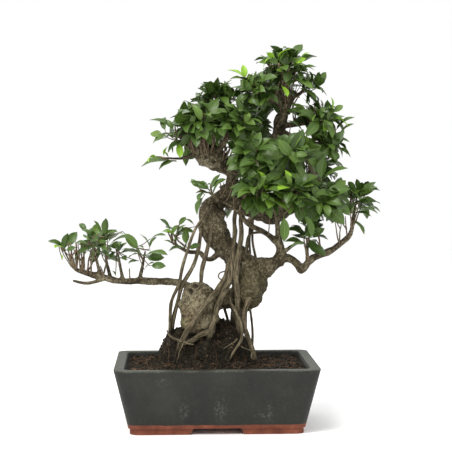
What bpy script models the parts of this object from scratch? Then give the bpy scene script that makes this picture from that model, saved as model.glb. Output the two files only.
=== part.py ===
"""A banyan fig grown as a bonsai, with aerial roots, in a rectangular footed pot.

The origin is on the ground under the middle of the pot. X runs along the pot's front, Y towards
its back and Z up. Every piece is one closed solid: the fired pot, the two drain screens with their
wire clips, the drainage grit, the soil, the wood of the tree and its tufts of leaves.
"""
import math

import bmesh
import bpy
from mathutils import Vector, noise

MM = 0.001

# The pot, in metres.
POT_LENGTH = 0.252
POT_DEPTH = 0.175
POT_HEIGHT = 0.081
POT_TAPER = 0.017
CORNER_RADIUS = 0.011
WALL = 0.012
FLOOR = 0.008
EDGE_BEVEL = 0.0014
BAND_HEIGHT = 0.0065
FOOT_HEIGHT = 0.0075
FOOT_WIDTH = 0.015
FOOT_INSET = 0.002
FOOT_GAP_LONG = 0.058
FOOT_GAP_SHORT = 0.046
FOOT_END_SLOPE = 0.004
DRAIN_HOLE = 0.018
DRAIN_SPACING = 0.104

# What the pot holds.
SCREEN_PITCH = 0.006
SCREEN_BAR = 0.0016
SCREEN_HOLES = 5
SCREEN_THICKNESS = 0.0012
CLIP_WIRE = 0.001
CLIP_LEG = 0.010
CLIP_BEND = 0.0008
CLIP_LOOP = 0.0016
CLIP_OVERHANG = 0.002
GRIT_DEPTH = 0.012
SOIL_DROP = 0.005
SOIL_CROWN = 0.003
SOIL_PIECES_X = 14
SOIL_PIECES_Y = 8
SOIL_RINGS = 12
CLEARANCE = 0.0003
# How far a cutter reaches past what it cuts.
CUT_PAST = 0.002
# Edges sharper than these angles, in degrees, keep a crease.
SOLID_CREASE = 40
ROUND_CREASE = 60

# The tree stands on the soil. Its limbs are drawn at DRAWN_HEIGHT and grow with TREE_HEIGHT.
TREE_HEIGHT = 0.402
DRAWN_HEIGHT = 0.402
LIMB_GIRTH = 1.0
TUFT_FILL = 1.0

# The mound that the roots have lifted, as flat-topped humps on each other: middle x and y, half
# width, half depth and height, in drawn millimetres.
MOUND = [
    (-14, -2, 61, 46, 31),
    (20, 4, 38, 30, 13),
    (-24, -10, 84, 58, 7),
    (-53, -12, 17, 22, 9),
]
MOUND_STEEPNESS = 5
# Only limbs that come lower than this can run into the soil.
MOUND_TOP = 60

# The wood, as stations along each limb: x, y, height above the soil and radius, in drawn
# millimetres. Limbs of one piece of wood run into each other, and roots run into the soil.
TRUNK = [
    (26, 0, 30, 10), (26, 0, 53, 8), (29, 0, 66, 9), (34, 0, 77, 14), (39, -1, 87, 19),
    (43, -2, 102, 23), (38, 0, 121, 20), (26, 2, 136, 16.4), (14, 3, 147, 14.6),
    (4, 2, 160, 15.8), (-3, 0, 175, 18), (-4, 1, 190, 17.6), (0, 3, 202, 14.4),
    (9, 5, 212, 10), (18, 7, 223, 7.8), (23, 9, 237, 7.8), (32, 12, 251, 8.6),
    (51, 14, 266, 8.4), (68, 14, 276, 7.8), (78, 13, 288, 7), (82, 12, 303, 7.6),
    (86, 12, 315, 7), (92, 11, 328, 4.8), (94, 10, 342, 3.6), (91, 7, 358, 2.8), (88, 2, 376, 1.8),
]
THICK_LIMBS = {
    "bulb": [
        (-9, -12, 30, 12), (-17, -14, 45, 20), (-20, -16, 58, 24.5), (-22, -17, 74, 25),
        (-22, -15, 90, 22.5), (-22, -12, 104, 12.5),
    ],
    "bulb_bridge": [(-13, -8, 78, 15), (6, 2, 81, 12.7), (28, 0, 85, 13)],
    "right_branch": [
        (43, 0, 112, 18), (54, 0, 119, 15.6), (66, 0, 124, 12), (76, 0, 129, 8.6),
        (87, -2, 135, 5.8), (96, -4, 133, 5.3), (103, -6, 128, 5.2), (109, -8, 121, 5.8),
        (116, -9, 128, 5), (124, -10, 135, 4.5), (143, -12, 143, 4.2), (158, -12, 154, 3.8),
        (170, -10, 165, 3.2), (174, -8, 184, 2.4), (178, -6, 206, 1.5),
    ],
    "inner_right_limb": [
        (9, 5, 209, 8.5), (27, 12, 204, 10), (43, 18, 197, 10.8), (61, 22, 190, 10.2),
        (77, 26, 184, 8.4), (92, 26, 192, 6.4), (110, 26, 204, 4.8), (130, 22, 212, 3.6),
    ],
    "knot": [
        (24, 9, 240, 6.8), (14, 8, 249, 9.6), (4, 4, 257, 13.4), (-9, 0, 265, 16.6),
        (-19, -2, 272, 12), (-23, -3, 281, 7),
    ],
    "left_branch": [
        (-12, 0, 88, 7), (-26, 4, 95, 5.7), (-41, 8, 101, 4.9), (-60, 8, 104, 4.8),
        (-80, 6, 105, 4.6), (-95, 4, 106, 4.4), (-118, 0, 106, 4.2), (-132, -2, 108, 4.5),
        (-144, -4, 112, 4.3), (-156, -6, 115, 4.1), (-166, -8, 118, 3.7), (-174, -9, 121, 2.6),
        (-182, -9, 130, 1.7), (-191, -8, 149, 1.3),
    ],
    "fork": [(78, -1, 126, 8), (82, -3, 142, 6.3), (81, -5, 154, 5)],
}
THIN_LIMBS = {
    "second_left": [
        (8, 5, 143, 5), (-4, 8, 133, 3.4), (-13, 8, 134, 3), (-20, 7, 141, 2.9),
        (-33, 5, 142, 2.8), (-42, 3, 146, 2.4), (-50, -1, 152, 2), (-49, -4, 166, 1.4),
    ],
    "fork_left": [
        (81, -5, 152, 5), (71, -9, 160, 4), (60, -14, 168, 3.5), (40, -20, 180, 3.1),
        (30, -22, 192, 2.7), (19, -23, 201, 2.4), (6, -25, 209, 2.1), (-10, -31, 219, 1.5),
    ],
    "fork_up": [
        (82, -4, 148, 4.6), (79, -6, 170, 3.8), (78, -10, 190, 3.2), (83, -28, 206, 2.2),
        (91, -46, 214, 1.5),
    ],
    "fork_right": [(81, -3, 140, 4), (89, -6, 144, 2.8), (95, -8, 149, 2.3), (105, -10, 155, 1.6)],
    "left_fork": [(-138, -3, 109, 2.6), (-152, -10, 106, 2.4), (-164, -14, 105, 2.2), (-178, -18, 108, 1.9)],
    "apex_right": [(93, 12, 325, 3.4), (101, 11, 338, 2.4), (114, 10, 348, 1.4)],
    "apex_back": [(92, 12, 317, 3.6), (88, 26, 336, 2.5), (81, 37, 356, 1.4)],
    "upper_mid": [(91, 12, 319, 3.6), (75, 2, 332, 2.5), (54, -7, 345, 1.4)],
    "crown_top": [(-19, -2, 272, 4.6), (-12, 4, 302, 2.9), (7, 6, 334, 1.5)],
    "crown_front": [(-12, -2, 267, 5), (-18, -14, 288, 3), (-17, -26, 307, 1.5)],
    "crown_centre": [(-2, 0, 262, 5), (12, -16, 282, 3), (26, -29, 304, 1.5)],
    "crown_far_left": [(-19, -2, 272, 4), (-34, -5, 278, 2.5), (-50, -8, 290, 1.4)],
    "low_spray": [(-18, -2, 268, 3.4), (-42, -8, 261, 2), (-63, -10, 261, 1.3)],
    "back_left": [(-9, 2, 265, 5), (-10, 22, 280, 3), (-9, 39, 299, 1.5)],
    "back_centre": [(51, 14, 269, 5), (48, 32, 284, 3), (42, 47, 300, 1.5)],
    "mid_centre": [(32, 12, 251, 5), (42, -14, 254, 3), (47, -35, 262, 1.5)],
    "right_upper": [(84, 13, 302, 4.6), (106, 8, 304, 3), (129, 1, 308, 1.5)],
    "right_upper_low": [(80, 13, 298, 3.6), (112, 2, 283, 2.4), (140, -4, 276, 1.4)],
    "mid_right": [(70, 14, 286, 5), (88, -12, 274, 3), (101, -37, 263, 1.5)],
    "mid_front": [(40, -20, 180, 3), (49, -36, 202, 2.2), (55, -49, 222, 1.4)],
    "lower_right": [(110, 26, 204, 4), (128, 2, 206, 2.8), (134, -28, 204, 1.5)],
    "hanging": [(116, -9, 128, 3), (115, -16, 146, 2), (113, -23, 162, 1.3)],
    "left_mid": [(-144, -4, 112, 2.8), (-149, -8, 134, 2), (-152, -12, 157, 1.3)],
    "left_inner": [(-116, 0, 106, 3), (-120, -3, 124, 2), (-122, -6, 141, 1.3)],
    "left_inner_high": [(-96, 4, 106, 3), (-92, 2, 124, 2.1), (-88, 0, 144, 1.3)],
    "back_mid": [(56, 14, 274, 5), (67, 34, 266, 3.2), (76, 51, 260, 1.6)],
    "back_right": [(92, 26, 192, 4.6), (108, 33, 222, 3), (126, 38, 248, 1.6)],
    "back_low": [(90, 26, 191, 4.4), (102, 38, 192, 2.8), (111, 45, 198, 1.6)],
    "back_low_left": [(43, 18, 197, 5), (43, 38, 204, 3), (42, 55, 211, 1.6)],
    "left_back": [(-132, -2, 109, 2.8), (-138, 16, 129, 2), (-142, 33, 149, 1.3)],
}
AERIAL_ROOTS = {
    "root_far_left": [
        (1, -2, 204, 1.8), (-4, -13, 200, 1.6), (-13, -18, 190, 1.7), (-26, -21, 171, 1.7),
        (-36, -21, 144, 1.9), (-46, -20, 106, 2), (-55, -18, 81, 2.1), (-57, -16, 56, 2.2),
        (-56, -14, 34, 2.2), (-54, -12, 14, 2),
    ],
    "root_left": [
        (-17, -9, 177, 2), (-21, -14, 153, 2.4), (-27, -17, 130, 2.5), (-42, -17, 102, 2.6),
        (-49, -14, 77, 2.6), (-55, -12, 48, 2.8), (-56, -10, 28, 2.6), (-55, -8, 12, 2.4),
    ],
    "root_on_bulb": [
        (-2, -12, 178, 2.2), (-7, -17, 164, 2.6), (-11, -19, 146, 2.7), (-16, -20, 124, 2.7),
        (-19, -19, 104, 2.6), (-20, -16, 92, 2.2),
    ],
    "root_diagonal": [
        (20, -8, 137, 3), (15, -18, 121, 3.2), (11, -23, 110, 3.2), (1, -31, 97, 3.4),
        (-10, -40, 84, 3.6), (-25, -45, 65, 3.6), (-38, -41, 44, 3.4), (-46, -34, 24, 3),
        (-48, -30, 10, 2.6),
    ],
    "root_front": [
        (26, -12, 151, 3.2), (20, -18, 131, 3.6), (18, -23, 110, 4), (6, -29, 89, 4),
        (-1, -34, 67, 4), (-8, -37, 45, 3.8), (-11, -34, 28, 3.4), (-12, -30, 12, 3),
    ],
    "root_upper": [
        (27, 6, 199, 3), (24, -12, 180, 2.6), (24, -17, 168, 2.8), (23, -19, 146, 3.1),
        (22, -19, 126, 3.2), (22, -14, 114, 3),
    ],
    "root_upper_thick": [
        (36, 12, 196, 3.4), (32, -10, 184, 2.7), (32, -17, 168, 2.9), (30, -22, 146, 3.4),
        (26, -25, 126, 4), (25, -25, 109, 3.8), (27, -22, 83, 3.3), (28, -18, 60, 3.3),
        (29, -15, 38, 3.3), (29, -12, 20, 3),
    ],
    "root_right": [
        (46, -12, 94, 3.4), (40, -23, 81, 3.4), (36, -25, 69, 3.4), (36, -25, 52, 3.4),
        (41, -26, 36, 3.2), (46, -27, 21, 3), (49, -28, 8, 2.6),
    ],
    "root_thin_right": [(43, 6, 78, 1.8), (47, 11, 54, 1.6), (48, 13, 39, 1.6), (48, 15, 20, 1.6), (48, 16, 6, 1.5)],
    "root_curl": [
        (25, -9, 92, 2.4), (18, -22, 84, 1.9), (26, -27, 68, 1.8), (31, -31, 53, 1.9),
        (31, -35, 36, 1.7), (20, -40, 18, 1.5), (14, -40, 6, 1.4),
    ],
    "root_behind": [(10, 8, 76, 2), (16, 13, 58, 1.8), (21, 15, 40, 1.7), (23, 16, 22, 1.6)],
    "root_back": [(36, 14, 112, 2.6), (37, 27, 98, 2.6), (36, 34, 68, 2.8), (34, 37, 38, 2.8), (33, 36, 14, 2.6)],
    "root_fine_left": [(46, 18, 192, 2), (45, 15, 172, 1.5), (43, 13, 156, 1.4), (38, 5, 136, 1.8)],
    "root_fine_middle": [(47, 20, 190, 2), (45, 17, 168, 1.5), (44, 14, 152, 1.4), (45, 8, 130, 1.8)],
    "root_fine_right": [(49, 20, 189, 2), (48, 15, 166, 1.5), (49, 12, 150, 1.4), (54, 5, 126, 1.8)],
    "root_lying": [(-4, -33, 47, 4.2), (-20, -39, 42, 3.6), (-29, -40, 36, 3), (-40, -38, 31, 2.4)],
    "root_splinter": [(60, -2, 168, 1.6), (42, -12, 164, 1.5), (38, -8, 140, 1.5), (36, -4, 124, 1.5)],
}

# The tufts of leaves: middle x, y and height above the soil, then half sizes, in drawn millimetres.
TUFTS = {
    "apex": ((87, 0, 377), (34, 32, 25)),
    "apex_right": ((118, 8, 351), (19, 18, 15)),
    "apex_back": ((78, 45, 352), (29, 21, 22)),
    "upper_mid": ((46, -8, 345), (22, 26, 20)),
    "crown_top": ((6, 6, 337), (27, 34, 20)),
    "crown_front": ((-20, -28, 305), (29, 29, 23)),
    "crown_centre": ((24, -34, 304), (26, 26, 23)),
    "crown_far_left": ((-57, -8, 291), (17, 18, 17)),
    "low_spray": ((-67, -10, 261), (16, 12, 10)),
    "back_left": ((-12, 44, 292), (34, 29, 24)),
    "back_centre": ((43, 52, 303), (31, 31, 29)),
    "mid_centre": ((48, -38, 263), (29, 31, 25)),
    "right_upper": ((133, 0, 309), (35, 34, 22)),
    "right_upper_low": ((144, -6, 276), (25, 23, 14)),
    "mid_right": ((97, -42, 262), (26, 29, 26)),
    "mid_front": ((52, -52, 221), (26, 26, 21)),
    "lower_front": ((94, -52, 216), (22, 26, 26)),
    "lower_right": ((136, -32, 208), (26, 29, 23)),
    "far_right": ((182, -6, 210), (21, 25, 19)),
    "hanging": ((113, -26, 166), (18, 18, 16)),
    "small_left": ((-13, -40, 224), (18, 15, 12)),
    "left_tip": ((-191, -8, 153), (15, 21, 15)),
    "left_mid": ((-155, -14, 161), (20, 23, 19)),
    "left_inner": ((-122, -6, 143), (16, 20, 14)),
    "left_inner_high": ((-88, 0, 149), (22, 22, 17)),
    "second_left": ((-48, -4, 168), (23, 22, 17)),
    "back_mid": ((82, 56, 266), (32, 31, 29)),
    "back_right": ((133, 40, 253), (31, 31, 29)),
    "back_low": ((116, 50, 202), (31, 29, 25)),
    "back_low_left": ((42, 60, 214), (29, 26, 23)),
    "left_back": ((-143, 38, 152), (24, 18, 17)),
}
TUFT_LUMPS = 0.16
LUMPS_PER_TUFT = 1.7
# Limbs further than this from a tuft, in drawn millimetres, are not cut out of it.
TUFT_REACH = 4
# How far a limb's rounded end stands out, as a share of its radius.
TIP_SHARE = 0.6

GLAZE = (0.045, 0.048, 0.046)
SCREEN_PLASTIC = (0.02, 0.02, 0.02)
WIRE_METAL = (0.55, 0.53, 0.50)
GRIT = (0.28, 0.23, 0.17)
SOIL = (0.030, 0.021, 0.014)
BARK = (0.24, 0.20, 0.14)
LEAF = (0.035, 0.12, 0.020)


def clear_scene():
    for old in list(bpy.data.objects):
        bpy.data.objects.remove(old, do_unlink=True)


def material(name, colour, roughness, metallic=0.0):
    made = bpy.data.materials.new(name)
    made.use_nodes = True
    shader = made.node_tree.nodes["Principled BSDF"]
    shader.inputs["Base Color"].default_value = (*colour, 1.0)
    shader.inputs["Roughness"].default_value = roughness
    shader.inputs["Metallic"].default_value = metallic
    made.diffuse_color = (*colour, 1.0)
    return made


def place(name, shape, finish=None, smooth_angle=None):
    """Make an object from a bmesh, with its faces pointing out."""
    bmesh.ops.recalc_face_normals(shape, faces=shape.faces)
    mesh = bpy.data.meshes.new(name)
    shape.to_mesh(mesh)
    shape.free()
    if smooth_angle is not None:
        mesh.shade_smooth()
        mesh.set_sharp_from_angle(angle=math.radians(smooth_angle))
    if finish is not None:
        mesh.materials.append(finish)
    made = bpy.data.objects.new(name, mesh)
    bpy.context.scene.collection.objects.link(made)
    return made


def combine(target, tools, operation):
    """Join tools to the target, or cut them out of it, and take the tools away."""
    group = bpy.data.collections.new("tools")
    bpy.context.scene.collection.children.link(group)
    for tool in tools:
        tool.hide_render = True
        tool.display_type = "WIRE"
        bpy.context.scene.collection.objects.unlink(tool)
        group.objects.link(tool)
    step = target.modifiers.new(operation.title(), "BOOLEAN")
    step.operation = operation
    step.solver = "EXACT"
    step.operand_type = "COLLECTION"
    step.collection = group
    bpy.context.view_layer.update()
    result = target.evaluated_get(bpy.context.evaluated_depsgraph_get())
    old_mesh = target.data
    target.data = bpy.data.meshes.new_from_object(result)
    target.modifiers.remove(step)
    target.data.name = target.name
    bpy.data.meshes.remove(old_mesh)
    for tool in tools:
        bpy.data.objects.remove(tool, do_unlink=True)
    bpy.data.collections.remove(group)


def rounded_loop(half_x, half_y, radius, height, arc_steps=4):
    """Points of a rounded rectangle, counter-clockwise seen from above."""
    points = []
    for quarter in range(4):
        sign_x = 1 if quarter in (0, 3) else -1
        sign_y = 1 if quarter in (0, 1) else -1
        centre = Vector((sign_x * (half_x - radius), sign_y * (half_y - radius), height))
        for step in range(arc_steps + 1):
            angle = math.radians(90 * (quarter + step / arc_steps))
            points.append(centre + radius * Vector((math.cos(angle), math.sin(angle), 0)))
    return points


def with_side_points(loop, pieces_x, pieces_y):
    """The same rounded loop with its straight sides split into more pieces."""
    points = []
    for start, end in zip(loop, loop[1:] + loop[:1]):
        run = end - start
        pieces = 1
        if abs(run.y) < CLEARANCE:
            pieces = pieces_x
        elif abs(run.x) < CLEARANCE:
            pieces = pieces_y
        points += [start.lerp(end, piece / pieces) for piece in range(pieces)]
    return points


def stack(shape, loops, close_start=True, close_end=True):
    """Skin closed loops of equal counts, one after the other."""
    rings = [[shape.verts.new(point) for point in loop] for loop in loops]
    for first, second in zip(rings, rings[1:]):
        count = len(first)
        for index in range(count):
            following = (index + 1) % count
            shape.faces.new((first[index], first[following], second[following], second[index]))
    if close_start:
        shape.faces.new(list(reversed(rings[0])))
    if close_end:
        shape.faces.new(rings[-1])
    return rings


def box(name, low, high):
    shape = bmesh.new()
    corners = [(low[0], low[1]), (high[0], low[1]), (high[0], high[1]), (low[0], high[1])]
    stack(shape, [[Vector((x, y, z)) for x, y in corners] for z in (low[2], high[2])])
    return place(name, shape)


# ---- the pot ----------------------------------------------------------------------------------

def outer_half(height):
    """Half length and half depth of the pot's outside at a height."""
    share = (POT_HEIGHT - height) / (POT_HEIGHT - FOOT_HEIGHT)
    return POT_LENGTH / 2 - POT_TAPER * share, POT_DEPTH / 2 - POT_TAPER * share


def inner_loop(height, inset=0.0):
    """The cavity's outline at a height, drawn in by an inset."""
    half_x, half_y = outer_half(height)
    radius = max(CORNER_RADIUS - WALL / 2, CORNER_RADIUS / 3)
    return rounded_loop(half_x - WALL - inset, half_y - WALL - inset, radius, height)


def outer_loop(height, inset=0.0):
    half_x, half_y = outer_half(height)
    return rounded_loop(half_x - inset, half_y - inset, CORNER_RADIUS, height)


def foot_loop(inset, height):
    half_x, half_y = outer_half(FOOT_HEIGHT)
    radius = max(CORNER_RADIUS - inset / 2, CORNER_RADIUS / 4)
    return rounded_loop(half_x - inset, half_y - inset, radius, height)


CAVITY_FLOOR = FOOT_HEIGHT + FLOOR


def gap_cutter(name, half_gap, reach, along_x):
    """A bar with sloped sides that parts the foot ring in the middle of two sides."""
    rise = FOOT_HEIGHT + CLEARANCE
    drop = -CUT_PAST
    shape = bmesh.new()
    slope = FOOT_END_SLOPE * (rise - drop) / FOOT_HEIGHT
    section = [(-half_gap - slope, drop), (half_gap + slope, drop), (half_gap, rise), (-half_gap, rise)]
    loops = []
    for end in (-reach, reach):
        if along_x:
            loops.append([Vector((end, across, height)) for across, height in section])
        else:
            loops.append([Vector((across, end, height)) for across, height in section])
    stack(shape, loops)
    return place(name, shape)


def drain_cutter(side):
    shape = bmesh.new()
    bmesh.ops.create_cone(
        shape, cap_ends=True, segments=20, radius1=DRAIN_HOLE / 2, radius2=DRAIN_HOLE / 2,
        depth=FLOOR * 2,
    )
    bmesh.ops.translate(shape, verts=shape.verts, vec=(side * DRAIN_SPACING / 2, 0, FOOT_HEIGHT + FLOOR / 2))
    return place("drain_cutter", shape)


def build_pot():
    shape = bmesh.new()
    band_top = FOOT_HEIGHT + BAND_HEIGHT
    stack(shape, [
        foot_loop(FOOT_INSET + FOOT_WIDTH, FOOT_HEIGHT),
        foot_loop(FOOT_INSET + FOOT_WIDTH, 0),
        foot_loop(FOOT_INSET + EDGE_BEVEL / 2, 0),
        foot_loop(FOOT_INSET, EDGE_BEVEL / 2),
        foot_loop(FOOT_INSET, FOOT_HEIGHT),
        outer_loop(FOOT_HEIGHT),
        outer_loop(band_top),
        outer_loop(POT_HEIGHT - EDGE_BEVEL),
        outer_loop(POT_HEIGHT, EDGE_BEVEL),
        inner_loop(POT_HEIGHT, -EDGE_BEVEL),
        inner_loop(POT_HEIGHT - EDGE_BEVEL),
        inner_loop(CAVITY_FLOOR + EDGE_BEVEL),
        inner_loop(CAVITY_FLOOR, EDGE_BEVEL),
    ])
    pot = place("pot", shape, material("pot_glaze", GLAZE, 0.55), SOLID_CREASE)
    combine(pot, [
        gap_cutter("front_and_back_gap", FOOT_GAP_LONG / 2, POT_DEPTH, False),
        gap_cutter("side_gap", FOOT_GAP_SHORT / 2, POT_LENGTH, True),
        drain_cutter(-1),
        drain_cutter(1),
    ], "DIFFERENCE")


# ---- inside the pot ---------------------------------------------------------------------------

SCREEN_HALF = (SCREEN_HOLES * SCREEN_PITCH + SCREEN_BAR) / 2
SCREEN_LOW = CAVITY_FLOOR + CLEARANCE
SCREEN_HIGH = SCREEN_LOW + SCREEN_THICKNESS
CLIP_HIGH = SCREEN_HIGH + CLEARANCE + CLIP_WIRE / 2
CLIP_REACH = SCREEN_PITCH + CLIP_LEG


def build_screen(name, side, finish):
    """A lattice of bars that keeps the grit in over a drain hole."""
    middle = side * DRAIN_SPACING / 2
    lines = []
    for index in range(SCREEN_HOLES + 1):
        edge = -SCREEN_HALF + index * SCREEN_PITCH
        lines += [edge, edge + SCREEN_BAR]
    shape = bmesh.new()
    grid = [[shape.verts.new((middle + x, y, SCREEN_LOW)) for x in lines] for y in lines]
    for row in range(len(lines) - 1):
        for column in range(len(lines) - 1):
            if row % 2 and column % 2:
                continue
            corners = (grid[row][column], grid[row][column + 1], grid[row + 1][column + 1], grid[row + 1][column])
            shape.faces.new(corners)
    raised = bmesh.ops.extrude_face_region(shape, geom=shape.faces[:])
    moved = [item for item in raised["geom"] if isinstance(item, bmesh.types.BMVert)]
    bmesh.ops.translate(shape, verts=moved, vec=(0, 0, SCREEN_THICKNESS))
    place(name, shape, finish)


def build_clip(name, side, finish):
    """A bent wire: flat on the screen, down through the drain hole and looped below the floor."""
    middle = side * DRAIN_SPACING / 2
    below = FOOT_HEIGHT - CLEARANCE - CLIP_WIRE
    lowest = below - CLIP_LOOP
    reach = DRAIN_HOLE / 2 + CLIP_OVERHANG
    bend = CLIP_BEND
    half = [
        (CLIP_REACH, CLIP_HIGH), (SCREEN_PITCH + bend, CLIP_HIGH), (SCREEN_PITCH, CLIP_HIGH - bend),
        (SCREEN_PITCH, below + bend), (SCREEN_PITCH + bend, below), (reach, below),
        (reach + bend / 2, (below + lowest) / 2), (reach, lowest),
    ]
    route = half + [(-x, z) for x, z in reversed(half)]
    points = [(middle + x, 0, z, CLIP_WIRE / 2) for x, z in route]
    shape = bmesh.new()
    tube(shape, points, 6, round_ends=False)
    place(name, shape, finish, ROUND_CREASE)


def build_grit():
    """Coarse grit over the floor, open around the screens and clips."""
    low = CAVITY_FLOOR + CLEARANCE
    high = CAVITY_FLOOR + GRIT_DEPTH
    shape = bmesh.new()
    stack(shape, [
        inner_loop(low, EDGE_BEVEL + CLEARANCE),
        inner_loop(low + EDGE_BEVEL, CLEARANCE * 2),
        inner_loop(high, CLEARANCE),
    ])
    grit = place("drainage_grit", shape, material("grit", GRIT, 0.95))
    pockets = []
    room = max(SCREEN_HALF, CLIP_REACH) + CLEARANCE
    for side in (-1, 1):
        middle = side * DRAIN_SPACING / 2
        pockets.append(box(
            "pocket",
            (middle - room, -SCREEN_HALF - CLEARANCE, low - FLOOR),
            (middle + room, SCREEN_HALF + CLEARANCE, CLIP_HIGH + CLIP_WIRE / 2 + CLEARANCE),
        ))
    combine(grit, pockets, "DIFFERENCE")


SOIL_LEVEL = POT_HEIGHT - SOIL_DROP
GROWTH = TREE_HEIGHT / DRAWN_HEIGHT * MM


def soil_height(x, y, share):
    """Height of the soil over a point; share is 0 at the pot's wall and 1 in the middle."""
    height = SOIL_LEVEL + SOIL_CROWN * share
    for middle_x, middle_y, half_x, half_y, rise in MOUND:
        distance = math.hypot((x / GROWTH - middle_x) / half_x, (y / GROWTH - middle_y) / half_y)
        if distance < 1:
            height += rise * GROWTH * (1 - distance ** MOUND_STEEPNESS)
    return height


def build_soil(tools):
    low = CAVITY_FLOOR + GRIT_DEPTH + CLEARANCE
    bottom = with_side_points(inner_loop(low, CLEARANCE), SOIL_PIECES_X, SOIL_PIECES_Y)
    edge = with_side_points(inner_loop(SOIL_LEVEL, CLEARANCE), SOIL_PIECES_X, SOIL_PIECES_Y)
    loops = [bottom, edge]
    for ring in range(1, SOIL_RINGS):
        share = ring / SOIL_RINGS
        shrunk = []
        for point in edge:
            x = point.x * (1 - share)
            y = point.y * (1 - share)
            shrunk.append(Vector((x, y, soil_height(x, y, share))))
        loops.append(shrunk)
    shape = bmesh.new()
    ends = stack(shape, loops, close_end=False)
    top = shape.verts.new((0, 0, soil_height(0, 0, 1)))
    last = ends[-1]
    for index, corner in enumerate(last):
        shape.faces.new((corner, last[(index + 1) % len(last)], top))
    soil = place("soil", shape, material("soil", SOIL, 0.98), ROUND_CREASE)
    combine(soil, tools, "DIFFERENCE")


# ---- the tree ---------------------------------------------------------------------------------

def smooth_route(stations, steps):
    """Stations along a smooth curve through the given ones; each holds x, y, z and a radius."""
    padded = [stations[0]] + list(stations) + [stations[-1]]
    route = []
    for before, start, end, after in zip(padded, padded[1:], padded[2:], padded[3:]):
        for step in range(steps):
            t = step / steps
            route.append(tuple(
                0.5 * (2 * b + (c - a) * t + (2 * a - 5 * b + 4 * c - d) * t * t
                       + (3 * b - a - 3 * c + d) * t ** 3)
                for a, b, c, d in zip(before, start, end, after)
            ))
    route.append(tuple(stations[-1]))
    return route


def tube(shape, stations, sides, round_ends=True):
    """A closed tube along stations of x, y, z and radius, with rounded or flat ends."""
    places = [Vector(station[:3]) for station in stations]
    side = None
    loops = []
    last = len(places) - 1
    for index, middle in enumerate(places):
        along = (places[min(index + 1, last)] - places[max(index - 1, 0)]).normalized()
        if side is None:
            side = along.orthogonal().normalized()
        side = (side - side.dot(along) * along).normalized()
        other = along.cross(side)
        radius = stations[index][3]
        ring = []
        for corner in range(sides):
            angle = math.tau * corner / sides
            ring.append(middle + radius * (math.cos(angle) * side + math.sin(angle) * other))
        loops.append(ring)
    ends = stack(shape, loops, close_start=not round_ends, close_end=not round_ends)
    if round_ends:
        for ring, index, inward in ((ends[0], 0, 1), (ends[-1], last, -1)):
            outward = (places[index] - places[index + inward]).normalized()
            tip = shape.verts.new(places[index] + TIP_SHARE * stations[index][3] * outward)
            for corner in range(sides):
                shape.faces.new((ring[corner], ring[(corner + 1) % sides], tip))


def limb(name, stations, sides, steps, grow=0.0):
    """One limb of the tree, made thicker by a gap where it is to be cut out of its neighbours."""
    placed = []
    for x, y, z, radius in smooth_route(stations, steps):
        thickness = radius * GROWTH * LIMB_GIRTH + grow
        placed.append((x * GROWTH, y * GROWTH, SOIL_LEVEL + z * GROWTH, thickness))
    shape = bmesh.new()
    tube(shape, placed, sides)
    return place(name, shape)


LIMB_GROUPS = [({"trunk": TRUNK}, 14, 2), (THICK_LIMBS, 11, 2), (THIN_LIMBS, 6, 2), (AERIAL_ROOTS, 6, 1)]


def all_limbs(grow=0.0, wanted=None):
    made = []
    for group, sides, steps in LIMB_GROUPS:
        for name, stations in group.items():
            if wanted is None or wanted(stations):
                made.append(limb(name, stations, sides, steps, grow))
    return made


def build_wood():
    limbs = all_limbs()
    trunk = limbs[0]
    trunk.name = "tree_wood"
    trunk.data.materials.append(material("bark", BARK, 0.85))
    combine(trunk, limbs[1:], "UNION")
    trunk.data.shade_smooth()
    trunk.data.set_sharp_from_angle(angle=math.radians(ROUND_CREASE))


def reaches(middle, half_sizes):
    """A test of whether a limb comes near a tuft."""
    spread = 1 + TUFT_LUMPS

    def test(stations):
        for x, y, z, radius in smooth_route(stations, 4):
            offsets = [
                (place_on - centre) / (size * TUFT_FILL * spread + radius * LIMB_GIRTH + TUFT_REACH)
                for place_on, centre, size in zip((x, y, z), middle, half_sizes)
            ]
            if sum(offset * offset for offset in offsets) < 1:
                return True
        return False

    return test


def reach_along(half_sizes, direction):
    """How far a tuft reaches from its middle along a direction, lumps included."""
    swell = (1 + TUFT_LUMPS) * TUFT_FILL
    return swell * math.sqrt(sum((size * part) ** 2 for size, part in zip(half_sizes, direction)))


def part_from_neighbours(shape, name):
    """Cut a tuft flat where it would run into the next one, halfway by their sizes."""
    middle, half_sizes = TUFTS[name]
    for other, (other_middle, other_half_sizes) in TUFTS.items():
        if other == name:
            continue
        between = Vector(other_middle) - Vector(middle)
        direction = between.normalized()
        reach = reach_along(half_sizes, direction)
        both = reach + reach_along(other_half_sizes, direction)
        if both < between.length:
            continue
        meeting = Vector(middle) + between * (reach / both)
        level = Vector((0, 0, SOIL_LEVEL))
        cut = bmesh.ops.bisect_plane(
            shape, geom=shape.verts[:] + shape.edges[:] + shape.faces[:], clear_outer=True,
            plane_co=meeting * GROWTH + level - direction * CLEARANCE, plane_no=direction,
        )
        rim = [item for item in cut["geom_cut"] if isinstance(item, bmesh.types.BMEdge)]
        if rim:
            bmesh.ops.holes_fill(shape, edges=rim, sides=0)


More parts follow.
